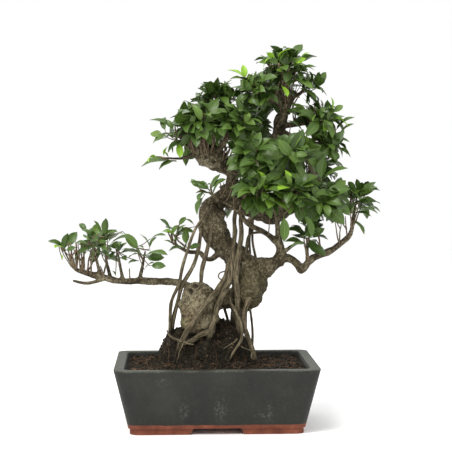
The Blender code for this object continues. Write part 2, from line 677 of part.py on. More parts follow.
def build_tuft(name, middle, half_sizes, finish, seed):
    """A lumpy solid in the room that one tuft of leaves fills, open where limbs run into it."""
    shape = bmesh.new()
    bmesh.ops.create_icosphere(shape, subdivisions=2, radius=1)
    for vertex in shape.verts:
        swell = 1 + TUFT_LUMPS * noise.noise(vertex.co * LUMPS_PER_TUFT + Vector((seed * math.pi, 0, 0)))
        offset = Vector([co * size * swell * TUFT_FILL for co, size in zip(vertex.co, half_sizes)])
        vertex.co = (Vector(middle) + offset) * GROWTH + Vector((0, 0, SOIL_LEVEL))
    part_from_neighbours(shape, name)
    tuft = place("leaves_" + name, shape, finish, SOLID_CREASE)
    combine(tuft, all_limbs(CLEARANCE, reaches(middle, half_sizes)), "DIFFERENCE")


def enters_soil(stations):
    lowest = min(station[2] for station in stations)
    return lowest < MOUND_TOP


def main():
    clear_scene()
    build_pot()
    screen_plastic = material("screen_plastic", SCREEN_PLASTIC, 0.6)
    wire_metal = material("wire_metal", WIRE_METAL, 0.35, 1.0)
    for side, word in ((-1, "left"), (1, "right")):
        build_screen("drain_screen_" + word, side, screen_plastic)
        build_clip("screen_clip_" + word, side, wire_metal)
    build_grit()
    build_soil(all_limbs(CLEARANCE, enters_soil))
    build_wood()
    leaf = material("leaf", LEAF, 0.4)
    for seed, (name, (middle, half_sizes)) in enumerate(TUFTS.items()):
        build_tuft(name, middle, half_sizes, leaf, seed)


main()
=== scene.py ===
"""The look of a banyan fig grown as a bonsai, in a dark rectangular footed pot."""
import math
import random
from contextlib import contextmanager

import bpy
import numpy as np
from mathutils import Matrix, Vector, kdtree, noise


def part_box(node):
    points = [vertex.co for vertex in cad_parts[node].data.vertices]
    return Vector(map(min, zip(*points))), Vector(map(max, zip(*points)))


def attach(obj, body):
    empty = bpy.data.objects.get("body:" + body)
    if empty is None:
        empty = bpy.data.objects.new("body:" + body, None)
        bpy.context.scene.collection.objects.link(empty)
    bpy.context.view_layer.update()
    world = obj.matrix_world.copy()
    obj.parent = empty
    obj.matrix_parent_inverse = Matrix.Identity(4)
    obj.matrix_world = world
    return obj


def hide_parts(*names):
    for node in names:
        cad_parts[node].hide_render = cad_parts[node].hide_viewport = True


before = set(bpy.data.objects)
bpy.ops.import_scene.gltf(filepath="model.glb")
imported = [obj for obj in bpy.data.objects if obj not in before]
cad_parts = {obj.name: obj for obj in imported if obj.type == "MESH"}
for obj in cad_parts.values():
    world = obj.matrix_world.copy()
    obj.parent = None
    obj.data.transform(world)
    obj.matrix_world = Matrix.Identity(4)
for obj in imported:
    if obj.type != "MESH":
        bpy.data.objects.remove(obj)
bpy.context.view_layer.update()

MM = 0.001
SEED = 11
# Without this the wobbles of limbs and shoots would change from run to run.
noise.seed_set(SEED)

# ---- where things are -------------------------------------------------------------------------

POT_LOW, POT_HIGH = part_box("pot")
POT_HALF_X = (POT_HIGH.x - POT_LOW.x) / 2
POT_HALF_Y = (POT_HIGH.y - POT_LOW.y) / 2
POT_TOP = POT_HIGH.z
SOIL_LOW, SOIL_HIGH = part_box("soil")
SOIL_HALF_X = (SOIL_HIGH.x - SOIL_LOW.x) / 2
SOIL_HALF_Y = (SOIL_HIGH.y - SOIL_LOW.y) / 2
POT_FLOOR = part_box("drain_screen_left")[0].z - 0.3 * MM
SOIL_DROP = 5 * MM
SOIL_LEVEL = POT_TOP - SOIL_DROP
FOOT_HEIGHT = 7.5 * MM
BAND_HEIGHT = 6.5 * MM
POT_TAPER = 17 * MM
POT_WALL = 12 * MM
CORNER_RADIUS = 11 * MM
FOOT_INSET = 2 * MM
FOOT_WIDTH = 15 * MM
DRAIN_X = 52 * MM
DRAIN_RADIUS = 9 * MM

# The limbs, as in the frame: stations of x, y, height above the soil and radius, in millimetres.
TRUNK = [
    (26, 0, 30, 10), (26, 0, 53, 8), (29, 0, 66, 9), (34, 0, 77, 14), (39, -1, 87, 19),
    (43, -2, 102, 23), (38, 0, 121, 20), (26, 2, 136, 16.4), (14, 3, 147, 14.6),
    (4, 2, 160, 15.8), (-3, 0, 175, 18), (-4, 1, 190, 17.6), (0, 3, 202, 14.4),
    (9, 5, 212, 10), (18, 7, 223, 7.8), (23, 9, 237, 7.8), (32, 12, 251, 8.6),
    (51, 14, 266, 8.4), (68, 14, 276, 7.8), (78, 13, 288, 7), (82, 12, 303, 7.6),
    (86, 12, 315, 7), (92, 11, 328, 4.8), (94, 10, 342, 3.6), (91, 7, 358, 2.8), (88, 2, 376, 1.8),
]
THICK_LIMBS = {
    "bulb": [
        (-9, -12, 30, 12), (-17, -14, 45, 20), (-20, -16, 58, 24.5), (-22, -17, 74, 25),
        (-22, -15, 90, 22.5), (-22, -12, 104, 12.5),
    ],
    "bulb_bridge": [(-13, -8, 78, 15), (6, 2, 81, 12.7), (28, 0, 85, 13)],
    "right_branch": [
        (43, 0, 112, 18), (54, 0, 119, 15.6), (66, 0, 124, 12), (76, 0, 129, 8.6),
        (87, -2, 135, 5.8), (96, -4, 133, 5.3), (103, -6, 128, 5.2), (109, -8, 121, 5.8),
        (116, -9, 128, 5), (124, -10, 135, 4.5), (143, -12, 143, 4.2), (158, -12, 154, 3.8),
        (170, -10, 165, 3.2), (174, -8, 184, 2.4), (178, -6, 206, 1.5),
    ],
    "inner_right_limb": [
        (9, 5, 209, 8.5), (27, 12, 204, 10), (43, 18, 197, 10.8), (61, 22, 190, 10.2),
        (77, 26, 184, 8.4), (92, 26, 192, 6.4), (110, 26, 204, 4.8), (130, 22, 212, 3.6),
    ],
    "knot": [
        (24, 9, 240, 6.8), (14, 8, 249, 9.6), (4, 4, 257, 13.4), (-9, 0, 265, 16.6),
        (-19, -2, 272, 12), (-23, -3, 281, 7),
    ],
    "left_branch": [
        (-12, 0, 88, 7), (-26, 4, 95, 5.7), (-41, 8, 101, 4.9), (-60, 8, 104, 4.8),
        (-80, 6, 105, 4.6), (-95, 4, 106, 4.4), (-118, 0, 106, 4.2), (-132, -2, 108, 4.5),
        (-144, -4, 112, 4.3), (-156, -6, 115, 4.1), (-166, -8, 118, 3.7), (-174, -9, 121, 2.6),
        (-182, -9, 130, 1.7), (-191, -8, 149, 1.3),
    ],
    "fork": [(78, -1, 126, 8), (82, -3, 142, 6.3), (81, -5, 154, 5)],
}
THIN_LIMBS = {
    "second_left": [
        (8, 5, 143, 5), (-4, 8, 133, 3.4), (-13, 8, 134, 3), (-20, 7, 141, 2.9),
        (-33, 5, 142, 2.8), (-42, 3, 146, 2.4), (-50, -1, 152, 2), (-49, -4, 166, 1.4),
    ],
    "fork_left": [
        (81, -5, 152, 5), (71, -9, 160, 4), (60, -14, 168, 3.5), (40, -20, 180, 3.1),
        (30, -22, 192, 2.7), (19, -23, 201, 2.4), (6, -25, 209, 2.1), (-10, -31, 219, 1.5),
    ],
    "fork_up": [
        (82, -4, 148, 4.6), (79, -6, 170, 3.8), (78, -10, 190, 3.2), (83, -28, 206, 2.2),
        (91, -46, 214, 1.5),
    ],
    "fork_right": [(81, -3, 140, 4), (89, -6, 144, 2.8), (95, -8, 149, 2.3), (105, -10, 155, 1.6)],
    "left_fork": [(-138, -3, 109, 2.6), (-152, -10, 106, 2.4), (-164, -14, 105, 2.2), (-178, -18, 108, 1.9)],
    "apex_right": [(93, 12, 325, 3.4), (101, 11, 338, 2.4), (114, 10, 348, 1.4)],
    "apex_back": [(92, 12, 317, 3.6), (88, 26, 336, 2.5), (81, 37, 356, 1.4)],
    "upper_mid": [(91, 12, 319, 3.6), (75, 2, 332, 2.5), (54, -7, 345, 1.4)],
    "crown_top": [(-19, -2, 272, 4.6), (-12, 4, 302, 2.9), (7, 6, 334, 1.5)],
    "crown_front": [(-12, -2, 267, 5), (-18, -14, 288, 3), (-17, -26, 307, 1.5)],
    "crown_centre": [(-2, 0, 262, 5), (12, -16, 282, 3), (26, -29, 304, 1.5)],
    "crown_far_left": [(-19, -2, 272, 4), (-34, -5, 278, 2.5), (-50, -8, 290, 1.4)],
    "low_spray": [(-18, -2, 268, 3.4), (-42, -8, 261, 2), (-63, -10, 261, 1.3)],
    "back_left": [(-9, 2, 265, 5), (-10, 22, 280, 3), (-9, 39, 299, 1.5)],
    "back_centre": [(51, 14, 269, 5), (48, 32, 284, 3), (42, 47, 300, 1.5)],
    "mid_centre": [(32, 12, 251, 5), (42, -14, 254, 3), (47, -35, 262, 1.5)],
    "right_upper": [(84, 13, 302, 4.6), (106, 8, 304, 3), (129, 1, 308, 1.5)],
    "right_upper_low": [(80, 13, 298, 3.6), (112, 2, 283, 2.4), (140, -4, 276, 1.4)],
    "mid_right": [(70, 14, 286, 5), (88, -12, 274, 3), (101, -37, 263, 1.5)],
    "mid_front": [(40, -20, 180, 3), (49, -36, 202, 2.2), (55, -49, 222, 1.4)],
    "lower_right": [(110, 26, 204, 4), (128, 2, 206, 2.8), (134, -28, 204, 1.5)],
    "hanging": [(116, -9, 128, 3), (115, -16, 146, 2), (113, -23, 162, 1.3)],
    "left_mid": [(-144, -4, 112, 2.8), (-149, -8, 134, 2), (-152, -12, 157, 1.3)],
    "left_inner": [(-116, 0, 106, 3), (-120, -3, 124, 2), (-122, -6, 141, 1.3)],
    "left_inner_high": [(-96, 4, 106, 3), (-92, 2, 124, 2.1), (-88, 0, 144, 1.3)],
    "back_mid": [(56, 14, 274, 5), (67, 34, 266, 3.2), (76, 51, 260, 1.6)],
    "back_right": [(92, 26, 192, 4.6), (108, 33, 222, 3), (126, 38, 248, 1.6)],
    "back_low": [(90, 26, 191, 4.4), (102, 38, 192, 2.8), (111, 45, 198, 1.6)],
    "back_low_left": [(43, 18, 197, 5), (43, 38, 204, 3), (42, 55, 211, 1.6)],
    "left_back": [(-132, -2, 109, 2.8), (-138, 16, 129, 2), (-142, 33, 149, 1.3)],
}
AERIAL_ROOTS = {
    "root_far_left": [
        (1, -2, 204, 1.8), (-4, -13, 200, 1.6), (-13, -18, 190, 1.7), (-26, -21, 171, 1.7),
        (-36, -21, 144, 1.9), (-46, -20, 106, 2), (-55, -18, 81, 2.1), (-57, -16, 56, 2.2),
        (-56, -14, 34, 2.2), (-54, -12, 14, 2),
    ],
    "root_left": [
        (-17, -9, 177, 2), (-21, -14, 153, 2.4), (-27, -17, 130, 2.5), (-42, -17, 102, 2.6),
        (-49, -14, 77, 2.6), (-55, -12, 48, 2.8), (-56, -10, 28, 2.6), (-55, -8, 12, 2.4),
    ],
    "root_on_bulb": [
        (-2, -12, 178, 2.2), (-7, -17, 164, 2.6), (-11, -19, 146, 2.7), (-16, -20, 124, 2.7),
        (-19, -19, 104, 2.6), (-20, -16, 92, 2.2),
    ],
    "root_diagonal": [
        (20, -8, 137, 3), (15, -18, 121, 3.2), (11, -23, 110, 3.2), (1, -31, 97, 3.4),
        (-10, -40, 84, 3.6), (-25, -45, 65, 3.6), (-38, -41, 44, 3.4), (-46, -34, 24, 3),
        (-48, -30, 10, 2.6),
    ],
    "root_front": [
        (26, -12, 151, 3.2), (20, -18, 131, 3.6), (18, -23, 110, 4), (6, -29, 89, 4),
        (-1, -34, 67, 4), (-8, -37, 45, 3.8), (-11, -34, 28, 3.4), (-12, -30, 12, 3),
    ],
    "root_upper": [
        (27, 6, 199, 3), (24, -12, 180, 2.6), (24, -17, 168, 2.8), (23, -19, 146, 3.1),
        (22, -19, 126, 3.2), (22, -14, 114, 3),
    ],
    "root_upper_thick": [
        (36, 12, 196, 3.4), (32, -10, 184, 2.7), (32, -17, 168, 2.9), (30, -22, 146, 3.4),
        (26, -25, 126, 4), (25, -25, 109, 3.8), (27, -22, 83, 3.3), (28, -18, 60, 3.3),
        (29, -15, 38, 3.3), (29, -12, 20, 3),
    ],
    "root_right": [
        (46, -12, 94, 3.4), (40, -23, 81, 3.4), (36, -25, 69, 3.4), (36, -25, 52, 3.4),
        (41, -26, 36, 3.2), (46, -27, 21, 3), (49, -28, 8, 2.6),
    ],
    "root_thin_right": [
        (43, 6, 78, 1.8), (47, 11, 54, 1.6), (48, 13, 39, 1.6), (48, 15, 20, 1.6), (48, 16, 6, 1.5),
    ],
    "root_curl": [
        (25, -9, 92, 2.4), (18, -22, 84, 1.9), (26, -27, 68, 1.8), (31, -31, 53, 1.9),
        (31, -35, 36, 1.7), (20, -40, 18, 1.5), (14, -40, 6, 1.4),
    ],
    "root_behind": [(10, 8, 76, 2), (16, 13, 58, 1.8), (21, 15, 40, 1.7), (23, 16, 22, 1.6)],
    "root_back": [
        (36, 14, 112, 2.6), (37, 27, 98, 2.6), (36, 34, 68, 2.8), (34, 37, 38, 2.8), (33, 36, 14, 2.6),
    ],
    "root_fine_left": [(46, 18, 192, 2), (45, 15, 172, 1.5), (43, 13, 156, 1.4), (38, 5, 136, 1.8)],
    "root_fine_middle": [(47, 20, 190, 2), (45, 17, 168, 1.5), (44, 14, 152, 1.4), (45, 8, 130, 1.8)],
    "root_fine_right": [(49, 20, 189, 2), (48, 15, 166, 1.5), (49, 12, 150, 1.4), (54, 5, 126, 1.8)],
    "root_lying": [(-4, -33, 47, 4.2), (-20, -39, 42, 3.6), (-29, -40, 36, 3), (-40, -38, 31, 2.4)],
    "root_splinter": [(60, -2, 168, 1.6), (42, -12, 164, 1.5), (38, -8, 140, 1.5), (36, -4, 124, 1.5)],
}
# The mound's humps: middle x and y, half length, half width and rise, in millimetres.
MOUND = [(-14, -2, 61, 46, 31), (20, 4, 38, 30, 13), (-24, -10, 84, 58, 7), (-53, -12, 17, 22, 9)]
MOUND_STEEPNESS = 5

# ---- materials --------------------------------------------------------------------------------


# A Mix node repeats its socket names for each kind of data, so its colours go by number.
MIX_FIRST, MIX_SECOND, MIX_RESULT = 6, 7, 2


class Signal:
    """A value, colour or vector that runs through a material, with the usual arithmetic."""

    def __init__(self, finish, socket):
        self.finish = finish
        self.socket = socket

    def __add__(self, other):
        return self.finish.maths("ADD", self, other)

    def __radd__(self, other):
        return self.finish.maths("ADD", other, self)

    def __sub__(self, other):
        return self.finish.maths("SUBTRACT", self, other)

    def __rsub__(self, other):
        return self.finish.maths("SUBTRACT", other, self)

    def __mul__(self, other):
        return self.finish.maths("MULTIPLY", self, other)

    def __rmul__(self, other):
        return self.finish.maths("MULTIPLY", other, self)

    def __truediv__(self, other):
        return self.finish.maths("DIVIDE", self, other)

    def __lt__(self, other):
        return self.finish.maths("LESS_THAN", self, other)


class Finish:
    """One material: a Principled shader and the nodes that feed it."""

    def __init__(self, name, roughness=0.6, **constants):
        self.material = bpy.data.materials.new(name)
        self.material.use_nodes = True
        self.tree = self.material.node_tree
        self.shader = self.tree.nodes["Principled BSDF"]
        self.shader.inputs["Roughness"].default_value = roughness
        for socket, value in constants.items():
            self.shader.inputs[socket.replace("_", " ")].default_value = value
        self.place = self.add("ShaderNodeTexCoord", {}, {}, "Object")

    def add(self, kind, settings, inputs, output=0):
        """Any node: its type, its settings, and the values or links of its sockets."""
        node = self.tree.nodes.new(kind)
        for name, value in settings.items():
            if name == "stops":
                self.set_stops(node.color_ramp, value)
            else:
                setattr(node, name, value)
        for name, value in inputs.items():
            socket = node.inputs[name]
            if isinstance(value, Signal):
                self.tree.links.new(value.socket, socket)
            else:
                socket.default_value = value
        return Signal(self, node.outputs[output])

    @staticmethod
    def set_stops(ramp, stops):
        while len(ramp.elements) < len(stops):
            ramp.elements.new(1.0)
        for element, (position, shade) in zip(ramp.elements, stops):
            element.position = position
            element.color = shade if len(shade) == 4 else (*shade, 1.0)

    def maths(self, operation, first, second):
        return self.add("ShaderNodeMath", {"operation": operation}, {0: first, 1: second})

    def noise(self, scale, detail=3.0, roughness=0.55, place=None):
        inputs = {"Vector": place or self.place, "Scale": scale, "Detail": detail}
        return self.add("ShaderNodeTexNoise", {}, {**inputs, "Roughness": roughness}, "Fac")

    def cells(self, scale):
        return self.add("ShaderNodeTexVoronoi", {}, {"Vector": self.place, "Scale": scale}, "Distance")

    def stretch(self, place, scale):
        return self.add("ShaderNodeMapping", {}, {"Vector": place, "Scale": scale})

    def ramp(self, factor, *stops):
        return self.add("ShaderNodeValToRGB", {"stops": stops}, {"Fac": factor}, "Color")

    def fade(self, value, start, end):
        """0 at start and 1 at end, and level beyond."""
        settings = {"clamp": True, "interpolation_type": "SMOOTHSTEP"}
        inputs = {"Value": value, "From Min": start, "From Max": end}
        return self.add("ShaderNodeMapRange", settings, inputs)

    def blend(self, factor, first, second):
        first, second = [
            shade if isinstance(shade, Signal) else (*shade, 1.0) for shade in (first, second)
        ]
        inputs = {"Factor": factor, MIX_FIRST: first, MIX_SECOND: second}
        return self.add("ShaderNodeMix", {"data_type": "RGBA"}, inputs, MIX_RESULT)

    def layered(self, shade, *layers):
        """A base colour under layers, each given by how far it covers and its own colour."""
        for cover, over in layers:
            shade = self.blend(cover, shade, over)
        return shade

    def attribute(self, name, output="Fac"):
        return self.add("ShaderNodeAttribute", {"attribute_name": name}, {}, output)

    def split(self, vector, axis):
        return self.add("ShaderNodeSeparateXYZ", {}, {"Vector": vector}, axis)

    def feed(self, socket, signal):
        self.tree.links.new(signal.socket, self.shader.inputs[socket])

    def bump(self, height, strength, distance, under=None):
        inputs = {"Height": height, "Strength": strength, "Distance": distance}
        if under is not None:
            inputs["Normal"] = under
        return self.add("ShaderNodeBump", {}, inputs, "Normal")


def bark_finish():
    """Grey fig bark: grainy and mottled, ringed along the branches and streaked along the roots."""
    bark = Finish("fig_bark", roughness=0.8, IOR=1.3)
    flow = bark.attribute("flow", "Vector")
    pale = bark.attribute("pale")
    root = bark.attribute("root")
    blotch = bark.noise(48, 5, 0.62)
    grain = bark.noise(330, 5, 0.72)
    speckle = bark.noise(780, 3, 0.6)
    streak = bark.noise(90, 4, 0.62, bark.stretch(flow, (7, 7, 0.7)))
    ring = bark.noise(90, 3, 0.6, bark.stretch(flow, (0.8, 0.8, 5)))
    tone = grain * 0.95 + blotch * 0.7 + (streak - 0.5) * (0.35 + root * 0.45) - 0.36
    wood = bark.ramp(
        tone, (0.30, (0.020, 0.015, 0.008)), (0.43, (0.064, 0.050, 0.028)), (0.53, (0.135, 0.112, 0.068)),
        (0.63, (0.25, 0.215, 0.14)), (0.76, (0.44, 0.40, 0.285)),
    )
    lichen = bark.fade(bark.noise(140, 5, 0.75) + (pale - 0.35) * 0.12, 0.54, 0.66)
    olive_bark = bark.ramp(grain, (0.38, (0.018, 0.015, 0.007)), (0.62, (0.100, 0.083, 0.040)))
    root_bark = bark.ramp(streak, (0.38, (0.022, 0.017, 0.009)), (0.62, (0.165, 0.133, 0.080)))
    shade = bark.layered(
        wood,
        (lichen * (0.1 + pale * 0.25), (0.34, 0.305, 0.20)),
        (bark.fade(speckle, 0.54, 0.64) * 0.7, (0.030, 0.023, 0.013)),
        (bark.attribute("olive") * 0.75, olive_bark),
        (bark.attribute("ochre") * 0.4 * bark.fade(grain, 0.4, 0.6), (0.22, 0.145, 0.06)),
        (bark.attribute("moss") * 0.6 * bark.fade(grain, 0.38, 0.55), (0.085, 0.105, 0.03)),
        (root * 0.65, root_bark),
        (bark.fade(bark.attribute("soiled") + (grain - 0.5) * 0.9, 0.3, 0.75), (0.020, 0.015, 0.009)),
        (bark.attribute("scar"), (0.022, 0.017, 0.012)),
    )
    bark.feed("Base Color", shade)
    bark.feed("Roughness", 0.74 + speckle * 0.2)
    height = blotch * 0.4 + grain * 0.55 + streak * (0.35 + root * 0.4) + ring * 0.5
    rough = bark.bump(height, 0.9, 0.0018)
    bark.feed("Normal", bark.bump(speckle + bark.noise(1500, 2) * 0.5, 0.5, 0.0005, rough))
    return bark.material


def twig_finish():
    """Young shoots: warm grey-brown."""
    twig = Finish("fig_shoot", roughness=0.7, IOR=1.35)
    tone = twig.noise(260, 4, 0.6)
    twig.feed("Base Color", twig.ramp(
        tone, (0.3, (0.062, 0.043, 0.024)), (0.55, (0.14, 0.102, 0.06)), (0.75, (0.26, 0.21, 0.135)),
    ))
    twig.feed("Roughness", 0.6 + tone * 0.25)
    twig.feed("Normal", twig.bump(tone + twig.noise(900, 2) * 0.4, 0.5, 0.0004))
    return twig.material


def leaf_finish(name, upper):
    """A glossy fig leaf, each its own green, with a pale midrib and fine side veins."""
    leaf = Finish(name, roughness=0.42 if upper else 0.5, IOR=1.36)
    blade = leaf.add("ShaderNodeUVMap", {"uv_map": "blade"}, {}, "UV")
    across = leaf.add("ShaderNodeMath", {"operation": "ABSOLUTE"}, {0: leaf.split(blade, "X") - 0.5})
    along = leaf.split(blade, "Y")
    tone = leaf.attribute("tone")
    young = leaf.attribute("young")
    midrib = 1 - leaf.fade(across, 0.012, 0.04)
    wave = leaf.add("ShaderNodeMath", {"operation": "SINE"}, {0: along * 95 - across * 60})
    veins = leaf.fade(wave, 0.72, 1.0) * (1 - midrib)
    mottle = leaf.noise(90, 3, 0.6)
    if upper:
        green = leaf.ramp(
            tone + (mottle - 0.5) * 0.3, (0.0, (0.038, 0.073, 0.012)), (0.4, (0.050, 0.095, 0.014)),
            (0.75, (0.070, 0.128, 0.017)), (1.0, (0.115, 0.190, 0.028)),
        )
        shade = leaf.layered(
            green, (veins * 0.22, (0.10, 0.20, 0.06)), (midrib * 0.4, (0.20, 0.29, 0.08)),
            (young, (0.24, 0.43, 0.035)),
        )
        leaf.shader.inputs["Coat Weight"].default_value = 0.14
        leaf.shader.inputs["Coat Roughness"].default_value = 0.22
    else:
        green = leaf.ramp(
            tone + (mottle - 0.5) * 0.2, (0.0, (0.055, 0.11, 0.03)), (0.6, (0.095, 0.175, 0.045)),
            (1.0, (0.15, 0.25, 0.06)),
        )
        shade = leaf.layered(green, (midrib * 0.6, (0.27, 0.36, 0.16)), (young, (0.27, 0.45, 0.07)))
    leaf.feed("Base Color", shade)
    relief = leaf.bump(midrib * (-1.0 if upper else 1.0) + veins * -0.4 + mottle * 0.3, 0.35, 0.0005)
    leaf.feed("Normal", relief)
    return leaf.material


# Pale lime marks on the front of the pot: x, height, half width and half height, in metres.
LIME_MARKS = [
    (0.062, 0.030, 0.006, 0.016), (0.054, 0.024, 0.014, 0.003), (0.004, 0.032, 0.009, 0.018),
    (-0.066, 0.067, 0.012, 0.005), (-0.040, 0.030, 0.007, 0.012),
]


def pot_finish():
    """Dark matt glaze, worn pale at the rim, over a red-brown unglazed foot."""
    pot = Finish("pot_dark_glaze", roughness=0.55, IOR=1.36)
    across, depth, height = [pot.split(pot.place, axis) for axis in "XYZ"]
    cloud = pot.noise(22, 5, 0.6)
    fine = pot.noise(420, 3, 0.6)
    run = pot.noise(30, 4, 0.6, pot.stretch(pot.place, (3, 3, 0.35)))
    glaze = pot.layered(
        pot.ramp(
            cloud, (0.3, (0.0085, 0.009, 0.0075)), (0.55, (0.0145, 0.015, 0.012)),
            (0.75, (0.023, 0.0245, 0.0195)),
        ),
        (pot.fade(fine, 0.52, 0.70) * 0.2, (0.06, 0.062, 0.05)),
        (pot.fade(run, 0.60, 0.80) * 0.18, (0.10, 0.104, 0.088)),
    )
    patchy = pot.fade(pot.noise(260, 5, 0.75), 0.47, 0.62)
    for x, z, half_x, half_z in LIME_MARKS:
        aside = (across - x) / half_x
        above = (height - z) / half_z
        mark = (1 - pot.fade(aside * aside + above * above, 0.1, 1.3)) * patchy * (depth < 0)
        glaze = pot.blend(mark * 0.2, glaze, (0.20, 0.21, 0.18))
    edge_wander = (pot.noise(60, 3) - 0.5) * 0.004
    rim_wear = pot.fade(height + edge_wander, POT_TOP - 2.4 * MM, POT_TOP - 0.4 * MM)
    front_rim = pot.fade(depth, -POT_HALF_Y + 15 * MM, -POT_HALF_Y + 9 * MM)
    rim_wear = rim_wear * (0.7 - front_rim * (1 - pot.fade(pot.noise(18, 2), 0.5, 0.6)) * 0.5)
    rim = pot.ramp(fine, (0.35, (0.042, 0.047, 0.035)), (0.65, (0.115, 0.122, 0.092)))
    rim = pot.blend(pot.fade(pot.noise(150, 4, 0.7), 0.52, 0.66) * 0.4, rim, (0.045, 0.05, 0.04))
    clay = pot.ramp(
        pot.noise(60, 4, 0.6), (0.3, (0.105, 0.030, 0.017)), (0.6, (0.19, 0.057, 0.031)),
        (0.8, (0.27, 0.10, 0.06)),
    )
    wander = (pot.noise(40, 2) - 0.5) * 0.0022
    line = FOOT_HEIGHT + BAND_HEIGHT * 0.75
    glazed = pot.fade(height + wander, line - 0.3 * MM, line + 0.3 * MM)
    pot.feed("Base Color", pot.blend(glazed, clay, pot.blend(rim_wear, glaze, rim)))
    pot.feed("Roughness", 0.86 - glazed * 0.33 + rim_wear * 0.22 + (fine - 0.5) * 0.15)
    pot.feed("Normal", pot.bump(cloud * 0.6 + fine * 0.16 + glazed * 0.5, 0.4, 0.0012))
    return pot.material


def soil_finish():
    """Dark moist soil full of fibre and small pale grains."""
    soil = Finish("dark_soil", roughness=0.95, IOR=1.2)
    clod = soil.noise(160, 5, 0.65)
    dark = soil.ramp(
        clod, (0.3, (0.006, 0.0055, 0.0038)), (0.5, (0.014, 0.0125, 0.0085)),
        (0.64, (0.029, 0.024, 0.016)), (0.82, (0.060, 0.048, 0.032)),
    )
    soil.feed("Base Color", soil.layered(
        dark,
        (soil.fade(soil.noise(75, 4, 0.7), 0.58, 0.7) * 0.4, (0.06, 0.028, 0.015)),
        (soil.fade(soil.noise(700, 2, 0.5), 0.66, 0.74) * 0.5, (0.17, 0.14, 0.09)),
    ))
    relief = soil.bump(clod + soil.cells(420) * 0.6, 0.9, 0.0022)
    soil.feed("Normal", soil.bump(soil.noise(1300, 3, 0.6), 0.6, 0.0005, relief))
    return soil.material


def crumb_finish():
    """Loose crumbs, each a shade of its own."""
    crumb = Finish("soil_crumbs", roughness=0.92, IOR=1.2)
    tone = crumb.noise(95, 3, 0.8)
    shade = crumb.ramp(
        tone, (0.34, (0.008, 0.007, 0.0045)), (0.52, (0.022, 0.017, 0.011)),
        (0.62, (0.06, 0.042, 0.026)), (0.72, (0.17, 0.13, 0.085)),
    )
    crumb.feed("Base Color", shade)
    crumb.feed("Normal", crumb.bump(crumb.noise(900, 3), 0.6, 0.0004))
    return crumb.material


def fibre_finish():
    """Dead red-brown root fibre."""
    fibre = Finish("root_fibre", roughness=0.85, IOR=1.3)
    tone = fibre.noise(120, 3, 0.7)
    fibre.feed("Base Color", fibre.ramp(
        tone, (0.3, (0.055, 0.026, 0.014)), (0.55, (0.14, 0.075, 0.042)), (0.75, (0.27, 0.19, 0.12)),
    ))
    fibre.feed("Normal", fibre.bump(fibre.noise(1200, 2), 0.4, 0.0003))
    return fibre.material


def screen_finish():
    """Black moulded plastic, scuffed with soil dust."""
    screen = Finish("black_screen_plastic", roughness=0.5)
    dust = screen.fade(screen.noise(160, 4, 0.65), 0.45, 0.7)
    screen.feed("Base Color", screen.blend(dust * 0.5, (0.012, 0.012, 0.013), (0.07, 0.055, 0.04)))
    screen.feed("Roughness", 0.45 + dust * 0.4)
    return screen.material


def wire_finish():
    """Aluminium wire, dulled by damp."""
    wire = Finish("dull_wire", roughness=0.35, Metallic=1.0)
    dull = wire.noise(240, 4, 0.65)
    wire.feed("Base Color", wire.ramp(dull, (0.35, (0.30, 0.29, 0.27)), (0.6, (0.58, 0.56, 0.53))))
    wire.feed("Roughness", 0.25 + dull * 0.35)
    return wire.material


def grit_finish():
    """Coarse tan drainage grit."""
    grit = Finish("drainage_grit", roughness=0.95)
    grain = grit.cells(260)
    tan = grit.ramp(grain, (0.0, (0.34, 0.27, 0.18)), (0.6, (0.10, 0.075, 0.05)))
    rusty = grit.fade(grit.noise(90, 2), 0.45, 0.6) * 0.5
    grit.feed("Base Color", grit.blend(rusty, tan, (0.22, 0.15, 0.09)))
    grit.feed("Normal", grit.bump(1 - grain, 0.9, 0.002))
    return grit.material


def floor_finish():
    """A pale matt sweep."""
    sweep = Finish("pale_sweep", roughness=0.9)
    tone = sweep.noise(3, 2)
    sweep.feed("Base Color", sweep.ramp(tone, (0.3, (0.955, 0.955, 0.955)), (0.7, (0.975, 0.975, 0.975))))
    return sweep.material


# ---- making things ----------------------------------------------------------------------------

def only(piece):
    """Select one piece alone and make it active."""
    if bpy.context.object and bpy.context.object.mode != "OBJECT":
        bpy.ops.object.mode_set(mode="OBJECT")
    bpy.ops.object.select_all(action="DESELECT")
    piece.select_set(True)
    bpy.context.view_layer.objects.active = piece


def named(name):
    """Name the piece that was just made."""
    piece = bpy.context.object
    piece.name = name
    piece.data.name = name
    return piece


@contextmanager
def editing(piece):
    """Edit mode on one piece, with all of it selected at the start."""
    only(piece)
    bpy.ops.object.mode_set(mode="EDIT")
    bpy.ops.mesh.select_all(action="SELECT")
    yield
    bpy.ops.object.mode_set(mode="OBJECT")


def from_points(name, points, faces):
    """A new piece from its points and faces."""
    mesh = bpy.data.meshes.new(name)
    mesh.from_pydata(points, [], faces)
    piece = bpy.data.objects.new(name, mesh)
    bpy.context.scene.collection.objects.link(piece)
    only(piece)
    return piece


def apply_modifiers(piece):
    """Bake all of a piece's modifiers into its mesh, in order."""
    only(piece)
    for step in list(piece.modifiers):
        bpy.ops.object.modifier_apply(modifier=step.name)


def settle(piece):
    """Put the piece's place, turn and size into its mesh."""
    only(piece)
    bpy.ops.object.transform_apply(location=True, rotation=True, scale=True)


def dress(piece, material, slot, *stands_for):
    """Give a piece its finish and body, and say which solids it shows; its slot is not used."""
    piece.data.materials.clear()
    piece.data.materials.append(material)
    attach(piece, "root")
    if stands_for:
        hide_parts(*stands_for)


